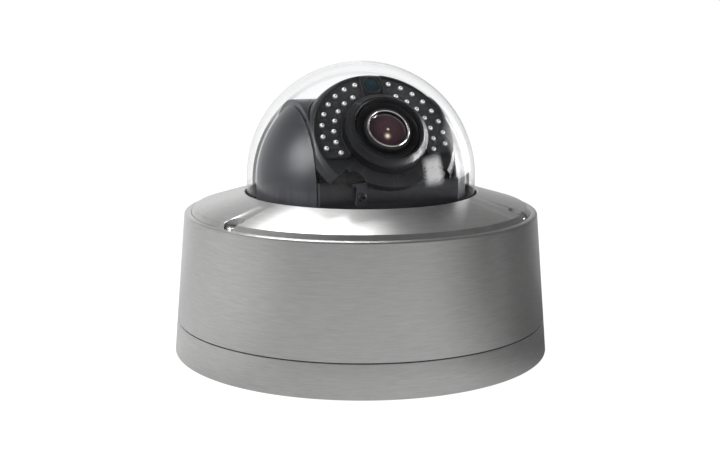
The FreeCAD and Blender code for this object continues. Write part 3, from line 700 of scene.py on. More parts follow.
@dataclass(frozen=True)
class SpeckledPlastic(Finish):
    """Coarsely spark-eroded black plastic whose tiny peaks are glossier and carry painted highlights, lighter
    specks in the colour.
    """

    def wire(self, board: Board, shader: bpy.types.Node, place: bpy.types.NodeSocket) -> None:
        """Wires the coarse texture and the painted highlights on its peaks."""
        coarse = board.group(EFFECTS.grain(), Vector=place, Scale=2600.0)
        peaks = board.group(EFFECTS.dust(), Vector=place, Scale=3200.0, Size=0.34)
        painted_shine = board.math("MULTIPLY", peaks.outputs["Tone"], 0.32)
        painted_glint = board.math("MULTIPLY", peaks.outputs["Mask"], painted_shine)
        tone = board.mix(coarse.outputs["Broad"], tuple(c * 0.7 for c in self.colour), self.colour)
        # painted highlight: the peaks are lightened towards grey in the colour, and made glossier
        board.set(shader, "Base Color", board.mix(painted_glint, tone, (0.42, 0.42, 0.43)))
        board.set(shader, "Roughness", board.math("ADD", self.roughness, board.math("MULTIPLY", painted_glint, -0.5)))
        self.relief(board, shader, coarse.outputs["Fine"], 0.10)


@dataclass(frozen=True)
class SolderMask(Finish):
    """Circuit board: glossy mask over tracks, with bright pads."""

    def wire(self, board: Board, shader: bpy.types.Node, place: bpy.types.NodeSocket) -> None:
        """Wires tracks, pads and weave."""
        cells = board.node("TexVoronoi", Vector=place, Scale=260.0, distance="CHEBYCHEV")
        track = board.math("GREATER_THAN", cells.outputs["Distance"], 0.42)
        pads = board.group(EFFECTS.dust(), Vector=place, Scale=520.0, Size=0.16)
        weave = board.group(EFFECTS.grain(), Vector=place, Scale=1800.0)
        tone = board.mix(track, tuple(c * 0.65 for c in self.colour), self.colour)
        board.set(shader, "Base Color", board.mix(pads.outputs["Mask"], tone, (0.72, 0.72, 0.66)))
        board.set(shader, "Metallic", pads.outputs["Mask"])
        spread = board.math("MULTIPLY", weave.outputs["Fine"], 0.1)
        board.set(shader, "Roughness", board.math("ADD", self.roughness, spread))
        self.relief(board, shader, track, 0.03)


@dataclass(frozen=True)
class ClearPlastic(Finish):
    """Clear polycarbonate shell: see-through and glossy, with painted shade that darkens it where it is seen
    edge on.
    """

    gloss: float = 0.35
    outer_painted_shade: Band = ((0.82, 1.0), (0.88, 0.80), (1.0, 0.74))
    inner_painted_shade: Band = ((0.70, 1.0), (0.76, 0.22), (0.86, 0.16), (0.91, 1.0))
    crown_shade_fade: Band = ((0.104, 0.0), (0.126, 0.88))

    def wire(self, board: Board, shader: bpy.types.Node, place: bpy.types.NodeSocket) -> None:
        """Wires a faint moulding haze and the painted shade at the edges, from the attribute inner."""
        haze = board.group(EFFECTS.grain(), Vector=place, Scale=300.0)
        tint = board.mix(haze.outputs["Broad"], self.colour, tuple(min(1.0, c * 1.004) for c in self.colour))
        # painted shade: the colour darkens in bands with the viewing angle, on the outer surface and on the
        # inner one; the inner band fades out towards the crown
        facing = board.node("LayerWeight", Blend=0.5).outputs["Facing"]
        outside = board.ramp(facing, self.outer_painted_shade)
        inside = board.ramp(facing, self.inner_painted_shade)
        height = board.node("SeparateXYZ", Vector=place).outputs[2]
        fading = board.ramp(height, self.crown_shade_fade, smooth=True)
        inside = board.mix(fading, inside, (1.0, 1.0, 1.0))
        inner = board.node("Attribute", attribute_name="inner").outputs["Fac"]
        edge = board.mix(inner, outside, inside)
        board.set(shader, "Base Color", board.mix(1.0, tint, edge, "MULTIPLY"))
        board.set(shader, "Roughness", self.roughness)
        board.set(shader, "Metallic", 0.0)
        board.set(shader, "Transmission Weight", 1.0)
        board.set(shader, "IOR", 1.0)
        polish = board.ramp(facing, ((0.50, self.gloss), (0.78, 1.0)))
        board.set(shader, "Coat Weight", board.mix(inner, polish, (0.0, 0.0, 0.0)))
        board.set(shader, "Coat Roughness", 0.0)

    def surface(self, board: Board, shader: bpy.types.Node) -> bpy.types.NodeSocket:
        """Lets shadow rays and diffuse light through."""
        path = board.node("LightPath")
        straight = board.math("MAXIMUM", path.outputs["Is Shadow Ray"], path.outputs["Is Diffuse Ray"])
        clear = board.node("BsdfTransparent", Color=(0.96, 0.965, 0.97))
        mixed = board.node("MixShader", Fac=straight)
        board.set(mixed, 1, shader.outputs[0])
        board.set(mixed, 2, clear.outputs[0])
        return mixed.outputs[0]


@dataclass(frozen=True)
class CoatedGlass(Finish):
    """Dark coated glass: its colour deepens to the edge, under a clear gloss, with painted highlight spots
    that glow in place of reflections of the inner lenses.
    """

    centre: Colour = (0.10, 0.03, 0.07)
    reach: float = 9.0
    border: Colour = (0.01, 0.008, 0.01)
    painted_glint: Colour = (1.0, 0.88, 0.66)

    def wire(self, board: Board, shader: bpy.types.Node, place: bpy.types.NodeSocket) -> None:
        """Wires the rings of colour from the piece's own distance attribute, and the glow of the painted
        highlight spots.
        """
        away = board.node("Attribute", attribute_name="from_axis").outputs["Fac"]
        share = board.math("DIVIDE", away, self.reach * MM)
        haze = board.group(EFFECTS.grain(), Vector=place, Scale=500.0)
        drift = board.math("MULTIPLY", board.math("SUBTRACT", haze.outputs["Broad"], 0.5), 0.1)
        share = board.math("ADD", share, drift)
        deep = tuple(c * 0.75 for c in self.colour)
        tone = board.ramp(share, ((0.0, self.centre), (0.42, self.centre), (0.55, self.colour),
                                  (0.8, deep), (1.0, self.border)), smooth=True)
        board.set(shader, "Base Color", tone)
        board.set(shader, "Roughness", self.roughness)
        board.set(shader, "Coat Weight", 1.0)
        # painted reflection: the glass glows faintly at the spots in the attribute glint, in place of
        # reflections of the inner lenses
        glow = board.node("Attribute", attribute_name="painted_glint").outputs["Fac"]
        board.set(shader, "Emission Color", board.mix(glow, (0.0, 0.0, 0.0), self.painted_glint))
        shader.inputs["Emission Strength"].default_value = 1.0


@dataclass(frozen=True)
class LampEpoxy(Finish):
    """Clear lamp over a bright reflector with a dark die at its centre; the reflector's brightness is partly
    painted highlight, and it glows faintly.
    """

    reach: float = 1.5
    # brightness across the lamp's radius: the bright ring is the reflector, partly its own colour and partly
    # painted highlight
    cup_and_painted_highlight: Band = ((0.0, 0.05), (0.16, 0.10), (0.30, 0.85), (0.54, 0.90), (0.70, 0.25), (1.0, 0.03))

    def wire(self, board: Board, shader: bpy.types.Node, place: bpy.types.NodeSocket) -> None:
        """Wires the reflector, its faint painted glow and the die from the piece's own distance attribute."""
        away = board.node("Attribute", attribute_name="from_axis").outputs["Fac"]
        share = board.math("DIVIDE", away, self.reach * MM)
        haze = board.group(EFFECTS.grain(), Vector=place, Scale=1500.0)
        drift = board.math("MULTIPLY", board.math("SUBTRACT", haze.outputs["Fine"], 0.5), 0.3)
        tone = board.ramp(board.math("ADD", share, drift), self.cup_and_painted_highlight)
        board.set(shader, "Base Color", tone)
        # painted highlight: the same tones glow as a faint emission, as if the lamps were lit
        board.set(shader, "Emission Color", tone)
        shader.inputs["Emission Strength"].default_value = 0.22
        board.set(shader, "Roughness", self.roughness)
        board.set(shader, "Coat Weight", 1.0)


class Palette(Enum):
    """The finishes of the camera's pieces."""

    STEEL = BrushedSteel("brushed_steel", (0.60, 0.60, 0.595), 0.33)
    SCREW = MachinedMetal("screw_steel", (0.50, 0.50, 0.50), 0.30)
    PLATED = MachinedMetal("plated_steel", (0.56, 0.56, 0.54), 0.38)
    BRASS = MachinedMetal("turned_brass", (0.72, 0.55, 0.27), 0.32)
    COOLER = MachinedMetal("anodised_aluminium", (0.70, 0.71, 0.73), 0.42)
    MOTOR = MachinedMetal("nickel_plate", (0.66, 0.65, 0.63), 0.25)
    CHROME = MachinedMetal("polished_ring", (0.93, 0.88, 0.87), 0.14)
    DOME = ClearPlastic("clear_polycarbonate", (0.985, 0.99, 0.995), 0.0)
    SEAL = MouldedPlastic("black_seal", (0.012, 0.012, 0.012), 0.65)
    COVER = MouldedPlastic("satin_black_cover", (0.014, 0.014, 0.018), 0.32, depth=0.0003)
    MASK = MouldedPlastic("mask_plastic", (0.012, 0.012, 0.014), 0.36, depth=0.001, dusting=0.02, bend=1.45)
    # the hood's high edge amount lightens its edges: partly wear, partly a painted highlight on its front
    # edge
    HOOD = MouldedPlastic("hood_plastic", (0.006, 0.006, 0.008), 0.34, depth=0.001, edge=1.5, dusting=0.02,
                          bend=1.45)
    DISH = MouldedPlastic("dish_plastic", (0.012, 0.012, 0.013), 0.36, depth=0.002, dusting=0.02, bend=1.3)
    PANEL = SpeckledPlastic("speckled_panel", (0.022, 0.022, 0.024), 0.55)
    LAMP = LampEpoxy("infrared_lamp", (0.9, 0.9, 0.9), 0.12)
    LENS = CoatedGlass("coated_lens", (0.042, 0.018, 0.025), 0.06, centre=(0.050, 0.024, 0.030))
    WINDOW = CoatedGlass("sensor_window", (0.004, 0.022, 0.030), 0.08, centre=(0.006, 0.020, 0.028),
                         reach=3.7)
    BOARD = SolderMask("solder_mask", (0.02, 0.16, 0.07), 0.32)
    GEAR = MouldedPlastic("gear_polymer", (0.78, 0.76, 0.70), 0.42, grain=900.0)
    POLYMER = MouldedPlastic("black_polymer", (0.028, 0.028, 0.028), 0.5)


def measure_from_axis(piece: bpy.types.Object, x: float = 0, y: float = 0) -> None:
    """Stores each point's distance from an upright line, in metres, as the attribute from_axis."""
    data = piece.data.attributes.get("from_axis") or piece.data.attributes.new("from_axis", "FLOAT", "POINT")
    for k, vertex in enumerate(piece.data.vertices):
        data.data[k].value = math.hypot(vertex.co.x - x * MM, vertex.co.y - y * MM)


def mark_painted_glints(piece: bpy.types.Object, spots: Sequence[tuple[float, float, float]]) -> None:
    """Stores how strongly each point shows a painted highlight spot, standing in for a reflection of the
    inner lenses, as the attribute glint.

    Args:
        piece: the glass, upright in its modelling frame.
        spots: (x, y, radius) of the painted highlight spots, in millimetres.
    """
    data = piece.data.attributes.new("painted_glint", "FLOAT", "POINT")
    for k, vertex in enumerate(piece.data.vertices):
        x, y = vertex.co.x / MM, vertex.co.y / MM
        data.data[k].value = sum(math.exp(-((x - a) ** 2 + (y - b) ** 2) / r ** 2) for a, b, r in spots)


def dress(piece: bpy.types.Object, finish: Palette, body: str, slot: str, *nodes: str) -> bpy.types.Object:
    """Gives a piece its finish and its place in the frame.

    Args:
        piece: the piece, in the row frame.
        finish: its finish.
        body: the CAD body it moves with.
        slot: the record's material slot; not used.
        nodes: the CAD nodes that it stands for.

    Returns:
        The piece.
    """
    piece.data.materials.clear()
    piece.data.materials.append(finish.value.build())
    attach(piece, body)
    if nodes:
        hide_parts(*nodes)
    log.info("%s: %d faces, %s", piece.name, len(piece.data.polygons), finish.value.name)
    return piece


# ---------------------------------------------------------------- housing
@dataclass
class Housing:
    """Tapered steel base and body."""

    base_radius: float = 90.0
    shoulder_radius: float = 84.4
    shoulder_z: float = 65.9
    rim_z: float = 67.05
    rim_round: float = 1.15
    seam_z: float = 15.6
    body_z: float = 16.0
    recess: float = 81.12
    seat_z: float = 64.0
    wall: float = 3.2
    plate: float = 4.0
    inner_radius: float = 80.5
    well_radius: float = 20.0
    well_z: float = 14.0
    gland_bore: float = 8.1
    groove_radii: tuple[float, float] = (84.0, 86.6)
    groove_z: float = 13.8
    screw_circle: float = 78.0
    screw_hole: float = 2.6
    counterbore: float = 4.5
    screw_boss: float = 5.8
    screw_angles: tuple[float, ...] = (30.0, 150.0, 270.0)
    mount_circle: float = 65.0
    mount_hole: float = 2.75
    mount_angles: tuple[float, ...] = (45.0, 135.0, 225.0, 315.0)
    pocket_circle: float = 77.3
    pocket_angles: tuple[float, ...] = (-46.0, 70.0, 192.0)
    pocket_boss: float = 4.4
    pocket_hole: float = 2.0
    steps: int = 288

    def skin(self, z: float) -> float:
        """Outer radius at a height."""
        return self.base_radius - (self.base_radius - self.shoulder_radius) * z / self.shoulder_z

    def build_base(self) -> bpy.types.Object:
        """Models the base with its holes and gland well."""
        bore, floor, plate, seam = self.gland_bore, self.well_z, self.plate, self.seam_z
        well, inner = self.well_radius, self.inner_radius
        groove_in, groove_out = self.groove_radii
        outline = softened([
            (bore, floor), (well, floor), (well, 0.0, 0.4), (self.skin(0.0), 0.0, 0.5),
            (self.skin(seam), seam, 0.22), (groove_out, seam), (groove_out, self.groove_z),
            (groove_in, self.groove_z), (groove_in, seam), (inner, seam, 0.2), (inner, plate),
            (well + plate, plate), (well + plate, floor + plate, 0.3), (bore, floor + plate)])
        base = Bench.lathe("steel_base", outline, self.steps)
        holes = []
        for angle in self.screw_angles:
            x, y = polar(self.screw_circle, angle)
            boss = Bench.rod("boss", self.screw_boss, plate - 0.1, seam - 0.02, x, y)
            past = self.ring_cutter("groove", groove_in, self.base_radius + 2, 3.0, 17.0)
            Bench.combine(boss, [past], "DIFFERENCE")
            Bench.combine(base, [boss], "UNION")
            holes.append(Bench.rod("counterbore", self.counterbore, -1, plate + 1, x, y))
            holes.append(Bench.rod("hole", self.screw_hole, plate, 20, x, y))
        for angle in self.mount_angles:
            holes.append(Bench.rod("hole", self.mount_hole, -1, plate + 1, *polar(self.mount_circle, angle)))
        Bench.combine(base, holes, "DIFFERENCE")
        return Bench.smooth(base)

    @staticmethod
    def ring_cutter(name: str, inner: float, outer: float, low: float, high: float) -> bpy.types.Object:
        """A plain tube to cut with."""
        return Bench.lathe(name, [(inner, low), (outer, low), (outer, high), (inner, high)], 96)

    def build_body(self) -> bpy.types.Object:
        """Models the body with its flanges and screw bosses."""
        under = self.seat_z - 4.5
        outline = softened([
            (self.skin(self.body_z), self.body_z, 0.22), (self.skin(self.rim_z), self.rim_z, self.rim_round),
            (self.recess, self.rim_z, 0.25), (self.recess, self.seat_z), (74.8, self.seat_z), (74.8, 62.6),
            (72.6, 62.6), (72.6, self.seat_z), (71.5, self.seat_z, 0.3), (71.5, under, 0.3),
            (self.skin(under) - self.wall, under), (self.skin(20) - self.wall, 20), (70.0, 20.0),
            (70.0, self.body_z)], 5)
        body = Bench.lathe("steel_body", outline, self.steps)
        for angle in self.pocket_angles:
            x, y = from_front(self.pocket_circle, angle)
            boss = Bench.rod("boss", self.pocket_boss, 52, under + 0.5, x, y)
            Bench.combine(body, [boss], "UNION")
            hole = Bench.rod("hole", self.pocket_hole, 53.4, self.seat_z + 1, x, y)
            Bench.combine(body, [hole], "DIFFERENCE")
        return Bench.smooth(body)

    def dress(self) -> None:
        """Builds and finishes the two shells."""
        dress(self.build_base(), Palette.STEEL, "housing", "housing_steel", "base_plate")
        dress(self.build_body(), Palette.STEEL, "housing", "housing_steel", "body_housing")


# ---------------------------------------------------------------- cover and dome
@dataclass
class Cover:
    """Conical cover ring, its screws, the seal and the clear dome."""

    radius: float = 81.0
    seat_z: float = 64.0
    step_z: float = 67.05
    edge_radius: float = 79.5
    edge_z: float = 69.2
    lip_radius: float = 55.6
    lip_z: float = 76.25
    pocket_radius: float = 4.6
    pocket_floor: float = 65.6
    screw_hole: float = 2.2
    dome_radius: float = 54.65
    dome_centre: float = 82.95
    dome_bore: float = 52.2
    flange_radius: float = 60.8
    flange_z: tuple[float, float] = (67.75, 70.2)
    gimbal_z: float = 80.7
    steps: int = 288
    housing: Housing = field(default_factory=Housing)

    def build_ring(self) -> bpy.types.Object:
        """Models the cover ring with its screw pockets."""
        outline = softened([
            (self.radius, self.seat_z), (self.radius, self.step_z), (self.edge_radius, self.edge_z, 0.42),
            (self.lip_radius, self.lip_z, 0.5), (self.lip_radius, 71.2), (61.2, 71.2), (61.2, 68.0),
            (69.0, 68.0), (69.0, 60.8, 0.2), (71.3, 60.8, 0.2), (71.3, self.seat_z)], 5)
        ring = Bench.lathe("steel_cover", outline, self.steps)
        pockets = []
        for angle in self.housing.pocket_angles:
            x, y = from_front(self.housing.pocket_circle, angle)
            pockets.append(Bench.rod("pocket", self.pocket_radius, self.pocket_floor, 80, x, y, 64))
            pockets.append(Bench.rod("hole", self.screw_hole, 60, 70, x, y, 32))
        Bench.combine(ring, pockets, "DIFFERENCE")
        Bench.soften(ring, 0.28, 2, 40)
        return Bench.smooth(ring, 25)

    def build_dome(self) -> bpy.types.Object:
        """Models the clear dome, thicker at its crown."""
        outer = arc((0, self.dome_centre), self.dome_radius, 0, 90, 56)
        inner = arc((0, self.gimbal_z), self.dome_bore, 90, 0, 56)
        low, high = self.flange_z
        outline = [(self.flange_radius, low), (self.flange_radius, high), (self.dome_radius, high),
                   *outer, *inner, (self.dome_bore, low)]
        dome = Bench.lathe("clear_dome", outline, 256)
        marks = dome.data.attributes.new("inner", "FLOAT", "POINT")
        limit, centre = (self.dome_bore + 0.3) * MM, Vector((0, 0, self.gimbal_z * MM))
        for k, vertex in enumerate(dome.data.vertices):
            in_ball = (vertex.co - centre).length < limit
            in_bore = vertex.co.xy.length < limit and vertex.co.z < centre.z
            marks.data[k].value = float(in_ball or in_bore)
        return Bench.smooth(dome, 40)

    def build_seal(self) -> bpy.types.Object:
        """Models the black seal round the dome."""
        outline = softened([(54.75, 70.25), (60.7, 70.25), (60.7, 71.15), (55.53, 71.15),
                            (55.53, 75.75, 0.25), (54.75, 75.75, 0.25)])
        return Bench.smooth(Bench.lathe("dome_gasket", outline, 256))

    def dress(self) -> None:
        """Builds and finishes the cover's pieces."""
        dress(self.build_ring(), Palette.STEEL, "cover", "housing_steel", "dome_cover")
        dress(self.build_dome(), Palette.DOME, "cover", "clear_dome", "dome")
        dress(self.build_seal(), Palette.SEAL, "cover", "black_seal", "dome_seal")


# ---------------------------------------------------------------- turret
@dataclass
class Turret:
    """Two smooth side covers that stand on the turntable."""

    radius: float = 50.0
    plane: float = 34.0
    floor: float = -36.3
    thick: float = 2.0
    arm_window: float = 24.0

    def bulb(self, name: str, radius: float, plane: float) -> bpy.types.Object:
        """A ball on a wall, cut off at a plane.

        Args:
            name: the shape's name.
            radius: its radius.
            plane: where it is cut off, along X.

        Returns:
            A closed shape.
        """
        outline = [(0, self.floor), (radius, self.floor), *arc((0, 0), radius, 0, 90, 40)]
        shape = Bench.lathe(name, outline, 160)
        Bench.edit(shape)
        bpy.ops.mesh.bisect(plane_co=(plane * MM, 0, 0), plane_no=(1, 0, 0), use_fill=True, clear_inner=True)
        return Bench.close(shape)

    def build_cover(self, side: int) -> bpy.types.Object:
        """Models one side cover.

        Args:
            side: -1 for the left, 1 for the right.

        Returns:
            The piece, in the row frame.
        """
        cover = self.bulb("side_cover", self.radius, self.plane)
        inside = self.bulb("inside", self.radius - self.thick, self.plane + 1)
        window = Bench.rod("window", self.arm_window, -3, 3, sides=96)
        lay_down = Matrix.Rotation(math.pi / 2, 4, "Y")
        window.matrix_world = Matrix.Translation((self.plane * MM, 0, 0)) @ lay_down
        Bench.combine(cover, [inside, Bench.settle(window)], "DIFFERENCE")
        Bench.soften(cover, 0.5, 3, 40)
        if side < 0:
            cover.scale = (-1, 1, 1)
            Bench.settle(cover)
            Bench.close(cover)
        cover.name = "satin_side_left" if side < 0 else "satin_side_right"
        return Bench.place(Bench.smooth(cover), Space.TURRET)

    def dress(self) -> None:
        """Builds and finishes both covers."""
        dress(self.build_cover(-1), Palette.COVER, "turret", "black_cover", "side_cover_left")
        dress(self.build_cover(1), Palette.COVER, "turret", "black_cover", "side_cover_right")


# ---------------------------------------------------------------- camera module
@dataclass
class Mask:
    """Face of the camera: mask, textured lamp panels, infrared lamps and the light sensor."""

    face_z: float = 40.0
    face_radius: float = 32.4
    bore: float = 19.7
    band: float = 26.8
    leg_angle: float = 126.5
    leg_back: float = 34.6
    lip_end: float = 156.0
    panel_inner: float = 20.4
    panel_outer: float = 32.2
    bridge: float = 5.5
    foot: float = -10.2
    sensor: float = 27.6
    side: float = 33.6
    arch: tuple[float, float, float] = (19.5, -23.5, 6.2)
    lamp_radius: float = 1.5
    lamp_hole: float = 1.62
    outer_lamps: tuple[float, float, float, int] = (29.1, 16.5, 12.0, 8)
    inner_lamps: tuple[float, float, float, int] = (23.6, 26.5, 13.8, 7)

    def panel_outline(self, side: int, grow: float = 0.0) -> list[tuple[float, float]]:
        """Outline of a lamp panel.

        Args:
            side: -1 for the left, 1 for the right.
            grow: how far outside the nominal outline, in millimetres.

        Returns:
            A closed outline.
        """
        outer, inner = self.panel_outer + grow, self.panel_inner - grow
        near, foot = self.bridge - grow, self.foot - grow
        first = math.degrees(math.asin(near / outer))
        last = math.degrees(math.acos(foot / outer))
        run = [from_top(outer, first + (last - first) * k / 40) for k in range(41)]
        last_in = math.degrees(math.acos(foot / inner))
        first_in = math.degrees(math.asin(near / inner))
        back = [from_top(inner, last_in + (first_in - last_in) * k / 30) for k in range(31)]
        outer_foot = (run[-1][0], run[-1][1], 2.2 + grow)
        inner_foot = (back[0][0], back[0][1], 1.6 + grow)
        keep_outer = [p for p in run[:-1] if p[1] > foot + 2.6]
        keep_inner = [p for p in back[1:] if p[1] > foot + 1.4]
        points = softened([*keep_outer, outer_foot, inner_foot, *keep_inner], 6)
        return points if side > 0 else [(-x, y) for x, y in reversed(points)]

    def lamp_places(self, side: int) -> list[tuple[float, float]]:
        """Centres of one panel's lamps."""
        return [(side * from_top(r, a + p * k)[0], from_top(r, a + p * k)[1])
                for r, a, p, n in (self.outer_lamps, self.inner_lamps) for k in range(n)]

    def build_mask(self) -> bpy.types.Object:
        """Models the mask."""
        outline = softened([
            (self.bore, 38.4), (self.bore, self.face_z, 0.3), (self.face_radius, self.face_z, 0.8),
            (34.35, 38.35, 2.4), (35.5, 35.4, 3.0), (36.6, 30.0, 4.0), (36.8, 25.5), (34.9, 25.5),
            (34.6, 30.0), (33.5, 35.2), (32.7, 37.2), (31.4, 38.4)], 4)
        mask = Bench.lathe("camera_mask", outline, 256)
        tools = [Bench.plate("opening", self.panel_outline(side), 36, 43) for side in (-1, 1)]
        last, end = self.leg_angle, 360 - self.leg_angle
        wedge = [from_top(self.band, end + (last - end) * k / 14) for k in range(15)]
        hollow = [*wedge, *(from_top(60, a) for a in (last, 150, 180, 210, end))]
        tools.append(Bench.plate("hollow", hollow, 20, 50))
        x, y, radius = self.arch
        tools += [Bench.rod("arch", radius, 20, 50, s * x, y, 64) for s in (-1, 1)]
        for low, high in ((-60, -self.side), (self.side, 60)):
            tools.append(Bench.block("side", (low, -60, 0), (high, 60, 60)))
        tools.append(Bench.block("behind_legs", (-40, -40, 20), (40, -9.5, self.leg_back)))
        tools.append(Bench.block("parting", (-0.2, -28, 39.5), (0.2, -19, 41)))
        Bench.combine(mask, tools, "DIFFERENCE")
        Bench.soften(mask, 0.35, 2, 38)
        return Bench.place(Bench.smooth(mask, 28), Space.MODULE)

    def build_lip(self) -> bpy.types.Object:
        """Models the turned-down edge under the lens."""
        outline = softened([(25.4, 36.0), (26.7, 36.0, 0.2), (26.7, 39.2, 0.3), (25.4, 39.2)])
        lip = Bench.lathe("mask_lip", outline, 160)
        wedge = [from_top(60, self.lip_end + (180 - self.lip_end) * k / 2) for k in range(5)]
        keep = Bench.plate("keep", [(0, 0), *wedge], 30, 45)
        Bench.combine(lip, [keep], "INTERSECT")
        return Bench.place(Bench.smooth(lip), Space.MODULE)

    def build_ridge(self, side: int) -> bpy.types.Object:
        """Models the low raised edge round a lamp panel."""
        ridge = Bench.plate("ridge", self.panel_outline(side, 0.75), 39.4, 40.55)
        Bench.combine(ridge, [Bench.plate("inside", self.panel_outline(side, 0.02), 38, 42)], "DIFFERENCE")
        Bench.soften(ridge, 0.25, 3, 40)
        ridge.name = "panel_ridge_left" if side < 0 else "panel_ridge_right"
        return Bench.place(Bench.smooth(ridge, 40), Space.MODULE)

    def build_panel(self, side: int) -> bpy.types.Object:
        """Models a textured panel with its lamp holes."""
        panel = Bench.plate("panel", self.panel_outline(side, -0.08), 38.3, 39.6)
        holes = [Bench.rod("hole", self.lamp_hole, 37, 41, x, y, 24) for x, y in self.lamp_places(side)]
        Bench.combine(panel, holes, "DIFFERENCE")
        Bench.soften(panel, 0.15, 2, 40)
        panel.name = "lamp_panel_left" if side < 0 else "lamp_panel_right"
        return Bench.place(Bench.smooth(panel, 40), Space.MODULE)

    def build_lamps(self) -> list[bpy.types.Object]:
        """Models one lamp and copies it to every place."""
        outline = [(0, 36.8), (self.lamp_radius, 36.8), *arc((0, 39.2), self.lamp_radius, 0, 90, 9)]
        first = Bench.smooth(Bench.lathe("lamp", outline, 24), 50)
        lamps = []
        for side in (-1, 1):
            for x, y in self.lamp_places(side):
                lamp = Bench.copy(first, f"infrared_lamp_{len(lamps) + 1:02d}", x, y)
                measure_from_axis(lamp, x, y)
                lamps.append(Bench.place(lamp, Space.MODULE))
        bpy.data.objects.remove(first)
        return lamps

    def build_sensor(self) -> tuple[bpy.types.Object, bpy.types.Object]:
        """Models the light sensor's bezel and window."""
        bezel = Bench.lathe("sensor_bezel", softened([
            (3.7, 39.4), (4.6, 39.4), (4.6, 40.5, 0.25), (3.7, 40.5, 0.2)]), 64)
        face = arc((0, 24.1), 16.4, 77.2, 90, 8)
        window = Bench.lathe("sensor_window", [(0, 39.4), (3.65, 39.4), *face], 64)
        measure_from_axis(window)
        made = []
        for piece in (bezel, window):
            piece.data.transform(Matrix.Translation((0, self.sensor * MM, 0)))
            made.append(Bench.place(Bench.smooth(piece, 40), Space.MODULE))
        return made[0], made[1]

    def dress(self) -> None:
        """Builds and finishes the face."""
        dress(self.build_mask(), Palette.MASK, "camera", "mask_plastic", "face_mask")
        dress(self.build_lip(), Palette.MASK, "camera", "mask_plastic")
        for side in (-1, 1):
            dress(self.build_ridge(side), Palette.MASK, "camera", "mask_plastic")
            dress(self.build_panel(side), Palette.PANEL, "camera", "panel_plastic", "lamp_panels")
        for lamp in self.build_lamps():
            dress(lamp, Palette.LAMP, "camera", "lamp_epoxy", "infrared_lamps")
        bezel, window = self.build_sensor()
        dress(bezel, Palette.MASK, "camera", "mask_plastic")
        dress(window, Palette.WINDOW, "camera", "window_glass", "light_sensor_window")


@dataclass
class LensFront:
    """What shows of the lens: hood, dish, bright ring and front glass."""

    hood_top: float = 47.2
    glass_radius: float = 9.0
    glass_bend: float = 28.3
    glass_top: float = 46.8
    # painted highlight spots on the front glass, (x, y, radius) in millimetres, in place of reflections of
    # the inner lenses
    painted_glints: tuple[tuple[float, float, float], ...] = ((-0.4, -0.6, 0.45), (-1.3, -3.9, 0.95))

    def build_hood(self) -> bpy.types.Object:
        """Models the hood round the lens."""
        outline = softened([
            (15.5, 36.9), (20.3, 36.9), (20.3, 38.4), (19.6, 38.4), (19.6, 44.5, 0.9), (18.9, 45.4, 0.5),
            (17.4, 46.4, 0.3), (16.6, self.hood_top, 0.3), (15.7, self.hood_top - 0.1, 0.3),
            (15.5, 46.2)], 4)
        return Bench.place(Bench.smooth(Bench.lathe("lens_hood_ring", outline, 192)), Space.MODULE)

    def build_dish(self) -> bpy.types.Object:
        """Models the dished flange with fine turned rings."""
        ridges = []
        for k in range(7):
            radius = 11.2 + 0.5 * k
            height = 43.0 + (radius - 11.0) * 2.3 / 3.6
            ridges += [(radius, height), (radius + 0.25, height + 0.34)]
        outline = [(11.0, 41.6), (11.0, 43.0), *ridges, (14.6, 45.3), (14.6, 41.6)]
        return Bench.place(Bench.smooth(Bench.lathe("lens_dish", outline, 160), 20), Space.MODULE)

    def build_ring(self) -> bpy.types.Object:
        """Models the bright ring round the glass."""
        outline = softened([
            (9.05, 45.9), (9.9, 45.9), (9.9, 46.75, 0.3), (9.35, 47.1, 0.25), (9.05, 46.7, 0.15)], 4)
        return Bench.place(Bench.smooth(Bench.lathe("bright_lens_ring", outline, 128), 50), Space.MODULE)

    def build_glass(self) -> bpy.types.Object:
        """Models the front glass."""
        edge = math.degrees(math.asin(self.glass_radius / self.glass_bend))
        dome = arc((0, self.glass_top - self.glass_bend), self.glass_bend, 90 - edge, 90, 30)
        glass = Bench.lathe("front_glass", [(0, 42.0), (self.glass_radius, 42.0), *dome], 96)
        measure_from_axis(glass)
        mark_painted_glints(glass, self.painted_glints)
        return Bench.place(Bench.smooth(glass, 40), Space.MODULE)

    def dress(self) -> None:
        """Builds and finishes the front."""
        dress(self.build_hood(), Palette.HOOD, "camera", "hood_plastic", "lens_hood")
        dress(self.build_dish(), Palette.DISH, "lens", "lens_black")
        dress(self.build_ring(), Palette.CHROME, "front_group", "ring_chrome", "front_ring")
        dress(self.build_glass(), Palette.LENS, "front_group", "lens_glass", "front_lens")


# ---------------------------------------------------------------- carried-over nodes
@dataclass
class CarriedNodes:
    """CAD nodes that keep their shape and get their finish by material slot."""

    finishes: dict[str, Palette] = field(default_factory=lambda: {
        "housing_steel": Palette.STEEL, "screw_steel": Palette.SCREW, "plated_steel": Palette.PLATED,
        "clear_dome": Palette.DOME, "black_seal": Palette.SEAL, "black_cover": Palette.COVER,
        "mask_plastic": Palette.MASK, "panel_plastic": Palette.PANEL, "hood_plastic": Palette.HOOD,
        "lamp_epoxy": Palette.LAMP, "lens_glass": Palette.LENS, "window_glass": Palette.WINDOW,
        "ring_chrome": Palette.CHROME, "lens_black": Palette.DISH, "gear_polymer": Palette.GEAR,
        "motor_steel": Palette.MOTOR, "circuit_green": Palette.BOARD, "black_polymer": Palette.POLYMER,
        "cooler_aluminium": Palette.COOLER, "standoff_brass": Palette.BRASS})

    def dress(self) -> None:
        """Finishes every node and smooths its shading without changing its mesh."""
        slots = {part["node"]: part["material_slot"] for part in frame["record"]["subparts"]}
        for name, node in frame["nodes"].items():
            node.data.materials.clear()
            node.data.materials.append(self.finishes[slots[name]].value.build())
            weld = node.modifiers.new("weld", "WELD")
            weld.merge_threshold = 2e-6
            split = node.modifiers.new("split", "EDGE_SPLIT")
            split.split_angle = math.radians(32)
            for polygon in node.data.polygons:
                polygon.use_smooth = True
        log.info("%d nodes keep their shape", len(frame["nodes"]))


